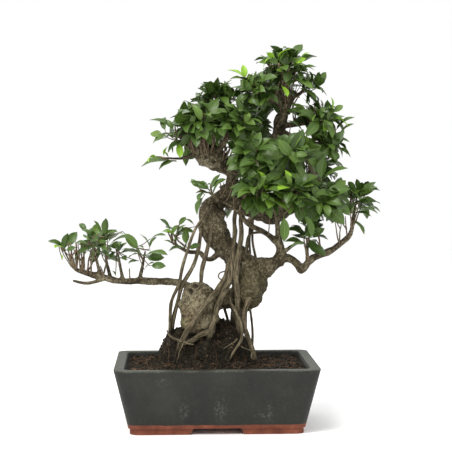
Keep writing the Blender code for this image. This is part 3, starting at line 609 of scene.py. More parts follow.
def smooth_route(stations, steps):
    """Stations on a smooth curve through the given ones."""
    padded = [stations[0]] + list(stations) + [stations[-1]]
    route = []
    for before, start, end, after in zip(padded, padded[1:], padded[2:], padded[3:]):
        for step in range(steps):
            t = step / steps
            route.append(tuple(
                0.5 * (2 * b + (c - a) * t + (2 * a - 5 * b + 4 * c - d) * t * t
                       + (3 * b - a - 3 * c + d) * t ** 3)
                for a, b, c, d in zip(before, start, end, after)
            ))
    route.append(tuple(stations[-1]))
    return route


def above_soil(x, y, z):
    """A place given in millimetres, its height from the soil's level."""
    return Vector((x * MM, y * MM, SOIL_LEVEL + z * MM))


def drawn_tubes(name, routes, sides):
    """Round tubes along many routes of (place, radius), as one mesh with closed ends."""
    curve = bpy.data.curves.new(name, "CURVE")
    curve.dimensions = "3D"
    curve.bevel_depth = 1.0
    curve.bevel_resolution = max(0, (sides - 4) // 2)
    curve.use_fill_caps = True
    for route in routes:
        spline = curve.splines.new("POLY")
        spline.points.add(len(route) - 1)
        for point, (place, radius) in zip(spline.points, route):
            point.co = (*place, 1.0)
            point.radius = radius
    piece = bpy.data.objects.new(name, curve)
    bpy.context.scene.collection.objects.link(piece)
    only(piece)
    bpy.ops.object.convert(target="MESH")
    with editing(bpy.context.object):
        bpy.ops.mesh.remove_doubles(threshold=1e-6)
        bpy.ops.mesh.normals_make_consistent(inside=False)
    bpy.ops.object.shade_smooth()
    return named(name)


# ---- the wood ---------------------------------------------------------------------------------

LIMBS = {"trunk": TRUNK, **THICK_LIMBS, **THIN_LIMBS}
# The bark of each limb: how pale, how like a root and how olive it is, from 0 to 1.
KINDS = {limb_name: (0.35, 0.0, 0.0) for limb_name in LIMBS}
KINDS.update({limb_name: (0.15, 1.0, 0.0) for limb_name in AERIAL_ROOTS})
KINDS["bulb"] = (1.0, 0.0, 0.0)
KINDS["bulb_bridge"] = (0.3, 0.0, 0.5)
# Of this many nearest spots along the limbs, a point belongs to the one whose skin is closest.
NEAR_SPOTS = 6
BARK_MARKS = ("girth", "pale", "root", "olive", "ochre", "moss", "scar", "soiled")
# Around the belly's middle the bark is olive, and fades out past its radius.
BELLY = above_soil(43, -2, 100)
BELLY_RADIUS = 22 * MM
# How far above the soil the wood is still dark with it.
SPLASH = 16 * MM
# Coloured stains on the bulb: middle and reach.
STAINS = {"ochre": (above_soil(-32, -34, 62), 24 * MM), "moss": (above_soil(-44, -26, 54), 15 * MM)}


def wandering(route, amount, seed):
    """A limb's route with small natural wobbles."""
    out = []
    for place, radius in route:
        shift = noise.noise_vector(place * 38 + Vector((seed, 0, 0)))
        thicker = 1 + 0.16 * noise.noise(place * 95 + Vector((0, seed, 0)))
        out.append((place + shift * amount * min(1.0, radius / (2 * MM)), radius * thicker))
    return out


def limb_routes():
    """Every limb and root as a fine route, by name."""
    routes = {}
    for seed, (name, stations) in enumerate({**LIMBS, **AERIAL_ROOTS}.items()):
        steps = 8 if name in THICK_LIMBS or name == "trunk" else 10
        route = [(above_soil(x, y, z), radius * MM) for x, y, z, radius in smooth_route(stations, steps)]
        wobble = 0.0 if name in ("trunk", "bulb") else 1.2 * MM
        routes[name] = wandering(route, wobble, seed * 1.7)
    return routes


def mark_bark(piece, routes):
    """Store on each point which limb it lies on and how the bark runs there."""
    spots = []
    for name, route in routes.items():
        run = 0.0
        for index, (place, radius) in enumerate(route):
            ahead = route[min(index + 1, len(route) - 1)][0]
            behind = route[max(index - 1, 0)][0]
            if index:
                run += (place - behind).length
            spots.append((place, radius, (ahead - behind).normalized(), run, KINDS[name]))
    tree = kdtree.KDTree(len(spots))
    for index, spot in enumerate(spots):
        tree.insert(spot[0], index)
    tree.balance()
    mesh = piece.data
    count = len(mesh.vertices)
    flow = np.zeros((count, 3), np.float32)
    values = {key: np.zeros(count, np.float32) for key in BARK_MARKS}
    for vertex in mesh.vertices:
        near = tree.find_n(vertex.co, NEAR_SPOTS)
        _, index, _ = min(near, key=lambda found: abs(found[2] - spots[found[1]][1]))
        place, radius, along, run, (pale, root, olive) = spots[index]
        side = along.orthogonal().normalized()
        other = along.cross(side)
        offset = vertex.co - place
        flow[vertex.index] = (offset.dot(side), offset.dot(other), run + offset.dot(along))
        past_belly = ((vertex.co - BELLY).length - BELLY_RADIUS) / BELLY_RADIUS
        on_belly = 1 - min(1.0, max(0.0, past_belly))
        clear = (vertex.co.z - rough_soil(vertex.co.x, vertex.co.y)) / SPLASH
        marks = {"girth": radius, "pale": pale, "root": root, "olive": max(olive, on_belly) * (1 - root)}
        marks["soiled"] = min(1.0, max(0.0, 1 - clear))
        for stain, (centre, reach) in STAINS.items():
            marks[stain] = max(0.0, 1 - (vertex.co - centre).length / reach)
        for key, value in marks.items():
            values[key][vertex.index] = value
    mesh.attributes.new("flow", "FLOAT_VECTOR", "POINT").data.foreach_set("vector", flow.ravel())
    for key, column in values.items():
        mesh.attributes.new(key, "FLOAT", "POINT").data.foreach_set("value", column)
    return values


def swell(piece, centre, radius, rise):
    """A knuckle where a root leaves the wood."""
    for vertex in piece.data.vertices:
        distance = (vertex.co - centre).length / radius
        if distance < 2.0:
            vertex.co += vertex.normal * rise * math.exp(-(distance * 1.2) ** 2)


def dent(piece, centre, radius, depth, lip):
    """An old scar: a dark hollow with a raised rim."""
    scar = piece.data.attributes["scar"].data
    for vertex in piece.data.vertices:
        distance = (vertex.co - centre).length / radius
        if distance < 2.0:
            hollow = -depth * math.exp(-(distance * 1.4) ** 2)
            rim = lip * math.exp(-((distance - 1.1) * 3.2) ** 2)
            scar[vertex.index].value = max(scar[vertex.index].value, math.exp(-(distance * 1.5) ** 4))
            vertex.co += vertex.normal * (hollow + rim)


# Wood this thin is smooth, and the relief is full where it is thicker by the second value.
SMOOTH_GIRTH = 1.6 * MM
ROUGH_GIRTH = 11 * MM
GIRTH_LEVELS = 20


def roughen(piece, girth, lumps):
    """Push the bark in and out with clouds of several sizes, more on thicker wood."""
    group = piece.vertex_groups.new(name="girth_share")
    shares = np.clip((girth - SMOOTH_GIRTH) / ROUGH_GIRTH, 0.05, 1.0)
    for level in range(1, GIRTH_LEVELS + 1):
        chosen = np.nonzero(np.round(shares * GIRTH_LEVELS) == level)[0]
        if len(chosen):
            group.add([int(index) for index in chosen], level / GIRTH_LEVELS, "REPLACE")
    for name, size, strength in lumps:
        texture = bpy.data.textures.new(name, "CLOUDS")
        texture.noise_scale = size
        step = piece.modifiers.new(name, "DISPLACE")
        step.texture = texture
        step.texture_coords = "LOCAL"
        step.strength = strength
        step.mid_level = 0.5
        step.vertex_group = "girth_share"
    apply_modifiers(piece)


# Old scars: place and radius. Knuckles: place, radius and rise. All in millimetres.
SCARS = [
    (-26, -28, 101, 5.2), (-32, -31, 95, 4.6), (-8, -12, 196, 3.0), (52, -18, 104, 3.4),
    (30, -18, 128, 3.0), (-12, -14, 262, 3.4), (-2, -12, 256, 2.6), (44, -22, 92, 2.6),
]
KNUCKLES = [
    (44, -23, 87, 8, 3.5), (26, -15, 98, 7, 3), (-24, 3, 95, 8, 2), (20, -12, 138, 7, 3),
    (27, -14, 152, 7, 3), (-17, -10, 179, 6, 2.5), (79, -2, 128, 8, 2.5),
]
# Bark relief: the size of the cloud and how far it moves the skin.
TRUNK_LUMPS = [("burls", 20 * MM, 5 * MM), ("knobs", 7 * MM, 3.4 * MM), ("pits", 2.6 * MM, 1.3 * MM)]
ROOT_LUMPS = [("root_knots", 9 * MM, 1.9 * MM), ("root_grain", 3 * MM, 0.8 * MM)]


def build_wood(bark):
    """Trunk and limbs grown into one skin, and the hanging roots over them."""
    routes = limb_routes()
    limbs = {name: route for name, route in routes.items() if name not in AERIAL_ROOTS}
    wood = drawn_tubes("tree_wood_bark", list(limbs.values()), 14)
    skin = wood.modifiers.new("grown_together", "REMESH")
    skin.mode = "VOXEL"
    skin.voxel_size = 1.14 * MM
    skin.use_smooth_shade = True
    evened = wood.modifiers.new("evened", "SMOOTH")
    evened.factor = 0.5
    evened.iterations = 4
    apply_modifiers(wood)
    girth = mark_bark(wood, limbs)["girth"]
    roughen(wood, girth, TRUNK_LUMPS)
    for x, y, z, radius, rise in KNUCKLES:
        swell(wood, above_soil(x, y, z), radius * MM, rise * MM)
    for x, y, z, radius in SCARS:
        dent(wood, above_soil(x, y, z), radius * MM, 0.7 * radius * MM, 0.28 * radius * MM)
    dress(wood, bark, "bark", "tree_wood")
    hanging = {name: routes[name] for name in AERIAL_ROOTS}
    roots = drawn_tubes("hanging_roots", list(hanging.values()), 14)
    girth = mark_bark(roots, hanging)["girth"]
    roughen(roots, girth * 2, ROOT_LUMPS)
    dress(roots, bark, "bark")
    return routes


# Where short upright shoots crowd along a limb: from and to (shares of its length), how many,
# their height and how far they lean out, in millimetres.
SPROUTS = [
    ("knot", 0.40, 1.0, 40, 42, 22), ("trunk", 0.84, 0.97, 14, 30, 14),
    ("right_branch", 0.58, 0.90, 8, 30, 16), ("inner_right_limb", 0.15, 0.95, 14, 34, 18),
    ("fork_left", 0.2, 0.95, 9, 26, 12), ("fork_up", 0.4, 1.0, 9, 26, 12),
    ("left_branch", 0.40, 0.98, 7, 24, 9), ("left_branch", 0.74, 0.88, 14, 34, 9),
    ("second_left", 0.5, 1.0, 4, 18, 8), ("right_upper", 0.3, 1.0, 6, 24, 12),
    ("mid_right", 0.4, 1.0, 6, 24, 12), ("crown_front", 0.4, 1.0, 7, 22, 12),
    ("upper_mid", 0.4, 1.0, 5, 22, 12), ("mid_front", 0.3, 1.0, 6, 24, 12),
    ("lower_right", 0.3, 1.0, 6, 24, 12), ("crown_far_left", 0.1, 0.9, 5, 24, 8),
]


def build_sprouts(routes, shoot_material):
    """Bare upright shoots, each with a joint or two where leaves have fallen."""
    chance = random.Random(SEED + 5)
    sprouts = []
    for limb, start, end, count, height, lean in SPROUTS:
        route = routes[limb]
        for index in range(count):
            share = start + (end - start) * (index + chance.random()) / count
            place, radius = route[min(len(route) - 1, int(share * len(route)))]
            away = chance.uniform(-math.pi, 0.25 * math.pi)
            out = Vector((math.cos(away), math.sin(away), 0))
            tall = height * chance.uniform(0.55, 1.1) * MM
            spread = lean * chance.uniform(0.2, 1.0) * MM
            foot = place + out * radius * 0.55
            thick = chance.uniform(0.75, 1.35) * MM
            stem = []
            for step in range(7):
                t = step / 6
                rise = Vector((0, 0, tall * t ** 0.9)) + out * (radius * 0.6 + spread * t ** 0.7)
                kink = noise.noise_vector((foot + rise) * 90 + Vector((index, 0, 0))) * 2.2 * MM * t
                joint = 1.18 if step in (2, 4) else 1.0
                stem.append((foot + rise + kink, thick * (1 - 0.5 * t) * joint))
            sprouts.append(stem)
            if chance.random() < 0.6:
                fork = stem[chance.choice((2, 3, 4))]
                lean_out = Vector((chance.uniform(-1, 1), chance.uniform(-1, 0.4), 1.3)).normalized()
                reach = tall * chance.uniform(0.3, 0.5)
                halfway = (fork[0] + lean_out * reach * 0.5, fork[1] * 0.8)
                sprouts.append([fork, halfway, (fork[0] + lean_out * reach, fork[1] * 0.55)])
    shoots = drawn_tubes("bare_shoots", sprouts, 6)
    dress(shoots, shoot_material, "bark")


# ---- leaves and shoots ------------------------------------------------------------------------

LEAF_LENGTH = 30 * MM
LEAF_WIDTH = 14.6 * MM
STALK = 6 * MM
BLADE_THICKNESS = 0.35 * MM
# Leaves and shoots turn by this much from one to the next.
GOLDEN_ANGLE = math.radians(137.5)
# A blade's outline: how far along the leaf, and the share of its full width there.
OUTLINE = [
    (-STALK / LEAF_LENGTH, 0.06), (0, 0.09), (0.12, 0.56), (0.29, 0.90), (0.47, 1.0), (0.65, 0.90),
    (0.81, 0.60), (0.93, 0.22), (1.0, 0.03),
]


def leaf_pattern(name, arch, fold, ripple, width):
    """One leaf, drawn flat and then curved: it grows out of the origin along +X and droops."""
    bpy.ops.object.select_all(action="DESELECT")
    bpy.ops.mesh.primitive_grid_add(x_subdivisions=len(OUTLINE) - 1, y_subdivisions=4, size=1.0)
    leaf = named(name)
    mesh = leaf.data
    rows = {}
    for vertex in mesh.vertices:
        row = round((vertex.co.x + 0.5) * (len(OUTLINE) - 1))
        rows[vertex.index] = (OUTLINE[row][0], OUTLINE[row][1], vertex.co.y * 2)
    uv = mesh.uv_layers[0] if mesh.uv_layers else mesh.uv_layers.new(name="blade")
    uv.name = "blade"
    for loop in mesh.loops:
        along, _, across = rows[loop.vertex_index]
        uv.data[loop.index].uv = (0.5 + across / 2, along)
    for vertex in mesh.vertices:
        along, share, across = rows[vertex.index]
        half = share * LEAF_WIDTH / 2 * width
        turn = arch * max(0.0, along)
        run = along * LEAF_LENGTH if along < 0 else LEAF_LENGTH * math.sin(turn) / arch
        drop = LEAF_LENGTH * (1 - math.cos(turn)) / arch
        rise = fold * abs(across) * half + ripple * math.sin(along * 8 + across * 2) * abs(across) * half
        x = STALK + run + rise * math.sin(turn)
        vertex.co = (x, across * half, rise * math.cos(turn) - drop)
    thick = leaf.modifiers.new("thickness", "SOLIDIFY")
    thick.thickness = BLADE_THICKNESS
    thick.offset = -1
    thick.material_offset = 1
    thick.material_offset_rim = 1
    apply_modifiers(leaf)
    return leaf


def leaf_arrays(leaf):
    """The pattern leaf's points, faces, face marks and blade coordinates, to copy from."""
    mesh = leaf.data
    points = np.array([vertex.co[:] for vertex in mesh.vertices])
    faces = [tuple(polygon.vertices) for polygon in mesh.polygons]
    under = [polygon.material_index for polygon in mesh.polygons]
    blade = np.array([corner.uv[:] for corner in mesh.uv_layers[0].data])
    bpy.data.objects.remove(leaf, do_unlink=True)
    return points, faces, under, blade


def leaf_turn(along, upward, length, width):
    """Turn and size of one leaf, as rows to multiply its points by."""
    forward = along.normalized()
    lift = (upward - upward.dot(forward) * forward).normalized()
    side = lift.cross(forward)
    return np.array(Matrix((forward * length, side * width, lift * length)))


# How far leaves may reach past their tuft's solid, at its lower and its upper sides.
PAST_LOW = Vector((9, 9, 5)) * MM
PAST_HIGH = Vector((9, 9, 7)) * MM


class Foliage:
    """Leaves and shoots gathered up for one tuft."""

    def __init__(self, patterns, chance, low, high):
        self.low = low - PAST_LOW
        self.high = high + PAST_HIGH
        self.patterns = patterns
        self.chance = chance
        self.points, self.faces, self.under = [], [], []
        self.blade, self.tone, self.young = [], [], []
        self.shoots = []

    def add_leaf(self, base, along, upward, size, tone, young, pattern=None):
        points, faces, under, blade = pattern or self.chance.choice(self.patterns)
        turn = leaf_turn(along, upward, size, size * self.chance.uniform(0.86, 1.12))
        start = len(self.points)
        self.points.extend((points @ turn + np.array(base)).tolist())
        self.faces.extend([tuple(start + corner for corner in face) for face in faces])
        self.under.extend(under)
        self.blade.append(blade)
        self.tone.extend([tone] * len(points))
        self.young.extend([young] * len(points))

    def add_shoot(self, start, tip, sag, base_radius, leaves, size, vigour):
        """A shoot from start to tip with leaves turning round its outer part."""
        reach = (tip - start).length
        away = (tip - start).normalized()
        route = []
        count = 7
        for index in range(count):
            t = index / (count - 1)
            place = start.lerp(tip, t) + Vector((0, 0, -sag * reach * math.sin(math.pi * t)))
            place += noise.noise_vector(place * 60) * 1.3 * MM * math.sin(math.pi * t)
            route.append((place, base_radius * (1 - 0.62 * t)))
        self.shoots.append(route)
        turn = self.chance.uniform(0, math.tau)
        axis = (route[-1][0] - route[-2][0]).normalized()
        axis = (axis * 0.7 + away * 0.3).normalized()
        for index in range(leaves):
            t = 1 - 0.62 * (index / max(1, leaves - 1)) * min(1.0, 24 * MM / max(reach, 1 * MM))
            position = t * (count - 1)
            low = min(int(position), count - 2)
            base = route[low][0].lerp(route[low + 1][0], position - low)
            turn += GOLDEN_ANGLE + self.chance.uniform(-0.25, 0.25)
            side = axis.orthogonal().normalized()
            other = axis.cross(side)
            radial = math.cos(turn) * side + math.sin(turn) * other
            spread = math.radians(42 + 44 * (index / max(1, leaves - 1)) + self.chance.uniform(-16, 12))
            along = axis * math.cos(spread) + radial * math.sin(spread)
            along.z += 0.28 - 0.35 * (index / leaves)
            upward = Vector((0, 0, 1)) * 0.5 + axis * 0.8 - radial * 0.25
            upward += Vector([self.chance.uniform(-0.55, 0.55) for _ in range(3)])
            grown = size * (0.68 + 0.32 * min(1.0, index / 2)) * self.chance.uniform(0.74, 1.16)
            tone = min(1.0, max(0.0, self.chance.gauss(0.45, 0.2) + (0.12 if index == 0 else 0)))
            grown *= self.room(base, along, grown)
            if grown < 0.45:
                continue
            self.add_leaf(base, along, upward, grown, tone, vigour if index < 2 else vigour * 0.25)

    def room(self, base, along, size):
        """How much of a leaf's length fits inside the tuft's room."""
        tip = base + along.normalized() * (STALK + LEAF_LENGTH) * size
        share = 1.0
        for axis in range(3):
            for edge, way in ((self.low[axis], -1), (self.high[axis], 1)):
                past = (tip[axis] - edge) * way
                if past > 0:
                    share = min(share, 1 - past / max(1 * MM, abs(tip[axis] - base[axis])))
        return max(0.0, share)

    def add_drawn_leaf(self, base, tip, young, roll, arch, pattern):
        """A leaf drawn from its base to its tip."""
        chord = tip - base
        side = chord.cross(Vector((0, 0, 1)))
        if side.length < 0.3 * chord.length:
            side = Vector((1, 0.2, 0)) * chord.length
        lift = side.cross(chord).normalized()
        if lift.z < 0:
            lift = -lift
        lift = (lift + Vector((0, -0.35, 0))).normalized()
        lift.rotate(Matrix.Rotation(roll, 3, chord))
        along = chord.normalized() + lift * math.tan(arch / 2) * 0.8
        size = chord.length / (LEAF_LENGTH * 0.95)
        stem = base - along.normalized() * STALK * size
        self.add_leaf(stem, along, lift, size, self.chance.uniform(0.35, 0.75), young, pattern)
        return stem

    def finish(self, name, leaf_materials, shoot_material, node):
        """Make the tuft's leaves one piece and its shoots another."""
        leaves = from_points(name, self.points, self.faces)
        mesh = leaves.data
        layer = mesh.uv_layers.new(name="blade")
        layer.data.foreach_set("uv", np.concatenate(self.blade).ravel())
        mesh.attributes.new("tone", "FLOAT", "POINT").data.foreach_set("value", self.tone)
        mesh.attributes.new("young", "FLOAT", "POINT").data.foreach_set("value", self.young)
        bpy.ops.object.shade_smooth_by_angle(angle=math.radians(50))
        dress(leaves, leaf_materials[0], "leaf", node)
        leaves.data.materials.append(leaf_materials[1])
        mesh.polygons.foreach_set("material_index", self.under)
        shoots = drawn_tubes(name + "_shoots", self.shoots, 6)
        dress(shoots, shoot_material, "bark")


# The limb that a tuft grows on, where it isn't the one of the same name.
TUFT_LIMB = {
    "apex": "trunk", "far_right": "right_branch", "left_tip": "left_branch", "lower_front": "fork_up",
    "small_left": "fork_left",
}
# How each tuft is filled: shoots, leaves on a shoot, leaf size and how often new growth shows.
TUFT_HABIT = {
    "low_spray": (1, 2, 0.8, 1.0), "small_left": (2, 3, 0.9, 0.0), "hanging": (4, 5, 0.95, 0.0),
    "left_tip": (1, 2, 0.6, 0.3), "left_mid": (3, 4, 0.75, 0.1), "left_inner": (2, 4, 0.7, 0.1),
    "left_inner_high": (1, 3, 0.7, 0.1), "second_left": (2, 3, 0.75, 0.1), "apex": (14, 5, 0.88, 0.15),
    "left_back": (4, 5, 0.9, 0.1), "crown_far_left": (4, 4, 0.9, 0.1), "far_right": (6, 5, 0.95, 0.1),
    "crown_front": (14, 5, 1.0, 0.03), "crown_centre": (14, 5, 1.0, 0.03), "mid_front": (13, 5, 1.05, 0.03),
    "mid_centre": (14, 5, 1.05, 0.03), "crown_top": (13, 5, 0.95, 0.03), "back_centre": (14, 5, 1.0, 0.0),
    "apex_right": (5, 5, 0.85, 0.0), "right_upper": (13, 5, 0.92, 0.03), "upper_mid": (12, 5, 0.95, 0.05),
}
USUAL_HABIT = (11, 5, 1.0, 0.02)
YOUNG, ON_EDGE = 1, 2
# Leaves that stand out from the tufts: base and tip (x, y and height, in millimetres), and 1 where
# the leaf is still young or 2 where it stands on edge.
DRAWN_LEAVES = {
    "left_tip": [
        (-190, -10, 149, -208, -16, 159, 2), (-190, -8, 148, -185, -10, 167, 0),
        (-187, -6, 151, -174, -2, 168, 2), (-186, -10, 146, -175, -18, 150, 2),
        (-192, -8, 135, -193, -10, 141, 1), (-182, -4, 127, -182, -4, 134, 1),
        (-176, -8, 133, -170, -12, 134, 1),
    ],
    "left_mid": [
        (-145, -14, 170, -151, -14, 183, 2), (-138, -16, 167, -137, -18, 186, 0),
        (-150, -14, 162, -156, -20, 170, 2), (-160, -20, 145, -136, -28, 159, 0),
        (-140, -18, 162, -123, -26, 171, 0), (-130, -18, 155, -109, -28, 165, 0),
        (-113, -14, 166, -98, -14, 148, 2), (-147, -22, 144, -132, -30, 141, 0),
        (-131, -16, 148, -138, -14, 153, 0), (-132, -10, 136, -126, -4, 144, 0),
    ],
    "left_inner": [
        (-121, -8, 139, -108, -14, 148, 0), (-122, -6, 143, -126, -6, 156, 2),
        (-126, -8, 115, -130, -14, 121, 0), (-109, -14, 136, -98, -22, 143, 0),
        (-99, -8, 132, -110, -14, 130, 2),
    ],
    "left_inner_high": [
        (-83, -4, 149, -93, -10, 166, 0), (-83, -4, 149, -75, -2, 162, 0), (-79, 0, 161, -63, -4, 165, 0),
        (-86, -6, 140, -61, -16, 142, 0), (-85, -2, 136, -65, -6, 136, 2), (-88, -6, 123, -78, -12, 131, 0),
        (-80, -8, 126, -63, -12, 126, 2), (-95, -6, 140, -100, -12, 150, 0), (-91, 0, 148, -96, 6, 150, 0),
    ],
    "second_left": [
        (-58, -2, 172, -69, -2, 185, 2), (-55, -6, 166, -47, -10, 177, 2), (-51, -8, 161, -39, -12, 178, 0),
        (-37, -12, 154, -37, -14, 172, 0), (-27, -4, 177, -39, -6, 185, 0),
        (-42, -8, 149, -59, -16, 146, 2), (-54, -4, 153, -64, -6, 158, 0),
        (-32, -10, 148, -20, -18, 153, 2), (-46, -8, 160, -53, -10, 158, 0),
    ],
    "apex": [
        (81, -2, 386, 99, -6, 399, 0), (84, -12, 374, 106, -16, 386, 0), (104, -4, 370, 126, -6, 377, 0),
        (109, 0, 389, 119, 0, 394, 1), (76, -8, 372, 65, -10, 394, 0), (68, -6, 374, 58, -2, 391, 0),
        (60, -14, 374, 66, -16, 386, 1), (113, -6, 350, 118, -8, 366, 0), (84, -14, 350, 90, -20, 338, 1),
    ],
    "apex_right": [
        (114, -2, 348, 137, -6, 347, 0), (111, -6, 347, 127, -12, 335, 0),
    ],
    "upper_mid": [
        (37, -8, 361, 16, -10, 372, 1), (37, -6, 362, 35, -4, 378, 1), (36, -14, 359, 18, -18, 360, 0),
        (19, -10, 335, 9, -6, 356, 0), (22, -14, 338, 32, -16, 352, 0),
    ],
    "crown_top": [
        (-18, 0, 333, 0, 2, 347, 0), (-22, -12, 329, -14, -14, 346, 0), (-24, -10, 316, -38, -14, 334, 0),
        (-27, -10, 310, -47, -12, 319, 0),
    ],
    "crown_far_left": [
        (-56, -8, 300, -81, -10, 310, 0), (-41, -12, 283, -60, -18, 270, 0),
        (-46, -14, 278, -44, -18, 262, 1),
    ],
    "low_spray": [
        (-56, -8, 258, -92, -12, 253, 0), (-53, -12, 257, -71, -16, 248, 0),
        (-59, -8, 262, -66, -8, 270, 1),
    ],
    "small_left": [
        (-8, -40, 220, -31, -46, 233, 0), (-4, -42, 217, 8, -44, 236, 0), (-9, -38, 217, -25, -42, 219, 0),
        (-17, -42, 212, -25, -44, 192, 0),
    ],
    "right_upper": [
        (110, -6, 295, 91, -10, 309, 0), (117, 0, 295, 102, 0, 322, 0), (126, -6, 296, 118, -8, 318, 0),
        (136, 0, 299, 139, 0, 325, 0), (139, -6, 300, 161, -10, 315, 0), (154, 0, 298, 175, -2, 314, 0),
        (157, -8, 291, 173, -12, 305, 0), (146, -6, 283, 169, -8, 283, 0),
    ],
    "back_centre": [
        (48, 24, 298, 68, 18, 312, 0), (50, 26, 304, 62, 22, 328, 0), (44, 22, 292, 72, 16, 298, 0),
        (46, 28, 310, 50, 24, 334, 0),
    ],
    "mid_centre": [
        (76, -50, 234, 74, -56, 272, 0), (73, -54, 231, 101, -60, 240, 0), (68, -52, 255, 46, -58, 244, 0),
    ],
    "mid_right": [
        (133, -40, 236, 160, -46, 250, 0), (129, -44, 237, 131, -50, 262, 0),
    ],
    "far_right": [
        (175, -6, 212, 193, -8, 228, 0), (178, -8, 210, 202, -12, 226, 0),
        (172, -10, 202, 191, -14, 207, 0), (177, -6, 192, 197, -8, 189, 0),
        (175, -6, 182, 189, -10, 166, 0),
    ],
    "lower_front": [
        (98, -68, 212, 122, -74, 209, 0), (81, -66, 187, 81, -72, 160, 0),
        (107, -66, 190, 115, -72, 166, 0),
    ],
}
DRAWN_PATTERN = 1
EDGE_ROLL = math.radians(55)
# The tufts lean away from here.
TREE_AXIS = above_soil(45, 5, 230)


def fill_tuft(tuft, patterns, routes, leaf_materials, shoot_material, seed):
    """Shoots with leaves through one tuft's room, and the leaves that stand out of it."""
    node = "leaves_" + tuft
    low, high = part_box(node)
    middle = (low + high) / 2
    half = (high - low) / 2
    chance = random.Random(SEED * 100 + seed)
    foliage = Foliage(patterns, chance, low, high)
    count, leaves, size, fresh = TUFT_HABIT.get(tuft, USUAL_HABIT)
    route = routes[TUFT_LIMB.get(tuft, tuft)]
    outward = middle - TREE_AXIS
    outward.z = 0
    lean = outward.normalized() * 0.45 + Vector((0, 0, 0.85))
    lean.normalize()
    chosen = []
    candidates = 5 * count
    for index in range(candidates):
        up = 1 - 2 * (index + 0.5) / candidates
        angle = index * GOLDEN_ANGLE + seed
        flat = math.sqrt(1 - up * up)
        direction = Vector((flat * math.cos(angle), flat * math.sin(angle), up))
        if direction.dot(lean) > -0.15:
            chosen.append(direction)
    chance.shuffle(chosen)
    for direction in chosen[:count]:
        reach = chance.uniform(0.38, 0.66)
        tip = middle + Vector([direction[axis] * half[axis] * reach for axis in range(3)])
        anchor = route[-1 - chance.randint(2, min(12, len(route) - 2))][0]
        vigour = 1.0 if chance.random() < fresh else 0.0
        foliage.add_shoot(anchor, tip, chance.uniform(-0.02, 0.12), 1.15 * MM, leaves, size, vigour)
    ends = [shoot[-1][0] for shoot in foliage.shoots]
    for x, y, z, tip_x, tip_y, tip_z, kind in DRAWN_LEAVES.get(tuft, []):
        roll = EDGE_ROLL if kind == ON_EDGE else 0.0
        stem = foliage.add_drawn_leaf(
            above_soil(x, y, z), above_soil(tip_x, tip_y, tip_z), float(kind == YOUNG), roll,
            PATTERN_HABITS[DRAWN_PATTERN][0], patterns[DRAWN_PATTERN],
        )
        near = min(ends, key=lambda end: (end - stem).length)
        middle_way = (near + stem) / 2 + Vector((0, 0, -0.08 * (near - stem).length))
        foliage.shoots.append([(near, 0.7 * MM), (middle_way, 0.6 * MM), (stem, 0.5 * MM)])
    foliage.finish(node + "_blades", leaf_materials, shoot_material, node)


# The pattern leaves: how far each arches, folds, ripples and how wide it is.
PATTERN_HABITS = [
    (0.7, 0.22, 0.10, 1.0), (0.75, 0.28, 0.12, 0.98), (0.4, 0.16, 0.08, 1.1), (1.25, 0.36, 0.10, 0.95),
    (1.0, 0.18, 0.18, 1.05),
]


def build_leaves(routes):
    """The shoots along the limbs, and every tuft."""
    patterns = [leaf_arrays(leaf_pattern("leaf_pattern", *habit)) for habit in PATTERN_HABITS]
    leaf_materials = (leaf_finish("leaf_upper_side", True), leaf_finish("leaf_under_side", False))
    shoot_material = twig_finish()
    build_sprouts(routes, shoot_material)
    tufts = sorted(name[len("leaves_"):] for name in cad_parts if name.startswith("leaves_"))
    for seed, tuft in enumerate(tufts):
        fill_tuft(tuft, patterns, routes, leaf_materials, shoot_material, seed)


# ---- soil -------------------------------------------------------------------------------------

def soil_height(x, y):
    """Height of the soil's surface over a point of the pot."""
    share = 1 - max(abs(x) / SOIL_HALF_X, abs(y) / SOIL_HALF_Y)
    height = SOIL_LEVEL + 3 * MM * max(0.0, share)
    for middle_x, middle_y, half_x, half_y, rise in MOUND:
        distance = math.hypot((x / MM - middle_x) / half_x, (y / MM - middle_y) / half_y)
        if distance < 1:
            height += rise * MM * (1 - distance ** MOUND_STEEPNESS)
    return height


def rough_soil(x, y):
    """The soil's surface with its clods."""
    spot = Vector((x, y, 0))
    base = soil_height(x, y)
    mound = min(1.0, (base - SOIL_LEVEL) / (20 * MM))
    clods = noise.noise(spot * 120) * (1.0 + 2.4 * mound) * MM
    crumbs = noise.noise(spot * 320) * (0.8 + 1.2 * mound) * MM
    humps = noise.noise(spot * 45) * (1.2 + 5 * mound) * MM
    return base + (clods + crumbs) + humps


def build_soil():
    """The soil's rough top, closed underneath by its tapered sides."""
    bpy.ops.object.select_all(action="DESELECT")
    bpy.ops.mesh.primitive_grid_add(x_subdivisions=150, y_subdivisions=100, size=2.0)
    soil = named("soil_top")
    corner = CORNER_RADIUS * 0.6
    for vertex in soil.data.vertices:
        x = vertex.co.x * SOIL_HALF_X
        y = vertex.co.y * SOIL_HALF_Y
        past_x = abs(x) - (SOIL_HALF_X - corner)
        past_y = abs(y) - (SOIL_HALF_Y - corner)
        if past_x > 0 and past_y > 0 and math.hypot(past_x, past_y) > corner:
            shrink = corner / math.hypot(past_x, past_y)
            x = math.copysign(SOIL_HALF_X - corner + past_x * shrink, x)
            y = math.copysign(SOIL_HALF_Y - corner + past_y * shrink, y)
        vertex.co = (x, y, rough_soil(x, y))
    with editing(soil):
        bpy.ops.mesh.region_to_loop()
        bpy.ops.mesh.extrude_region_move(TRANSFORM_OT_translate={"value": (0, 0, SOIL_LOW.z - SOIL_LEVEL)})
        bpy.ops.transform.resize(value=(0.93, 0.91, 0.0), center_override=(0, 0, SOIL_LOW.z))
        bpy.ops.mesh.edge_face_add()
        bpy.ops.mesh.select_all(action="SELECT")
        bpy.ops.mesh.normals_make_consistent(inside=False)
    bpy.ops.object.shade_smooth_by_angle(angle=math.radians(70))
    dress(soil, soil_finish(), "soil", "soil")


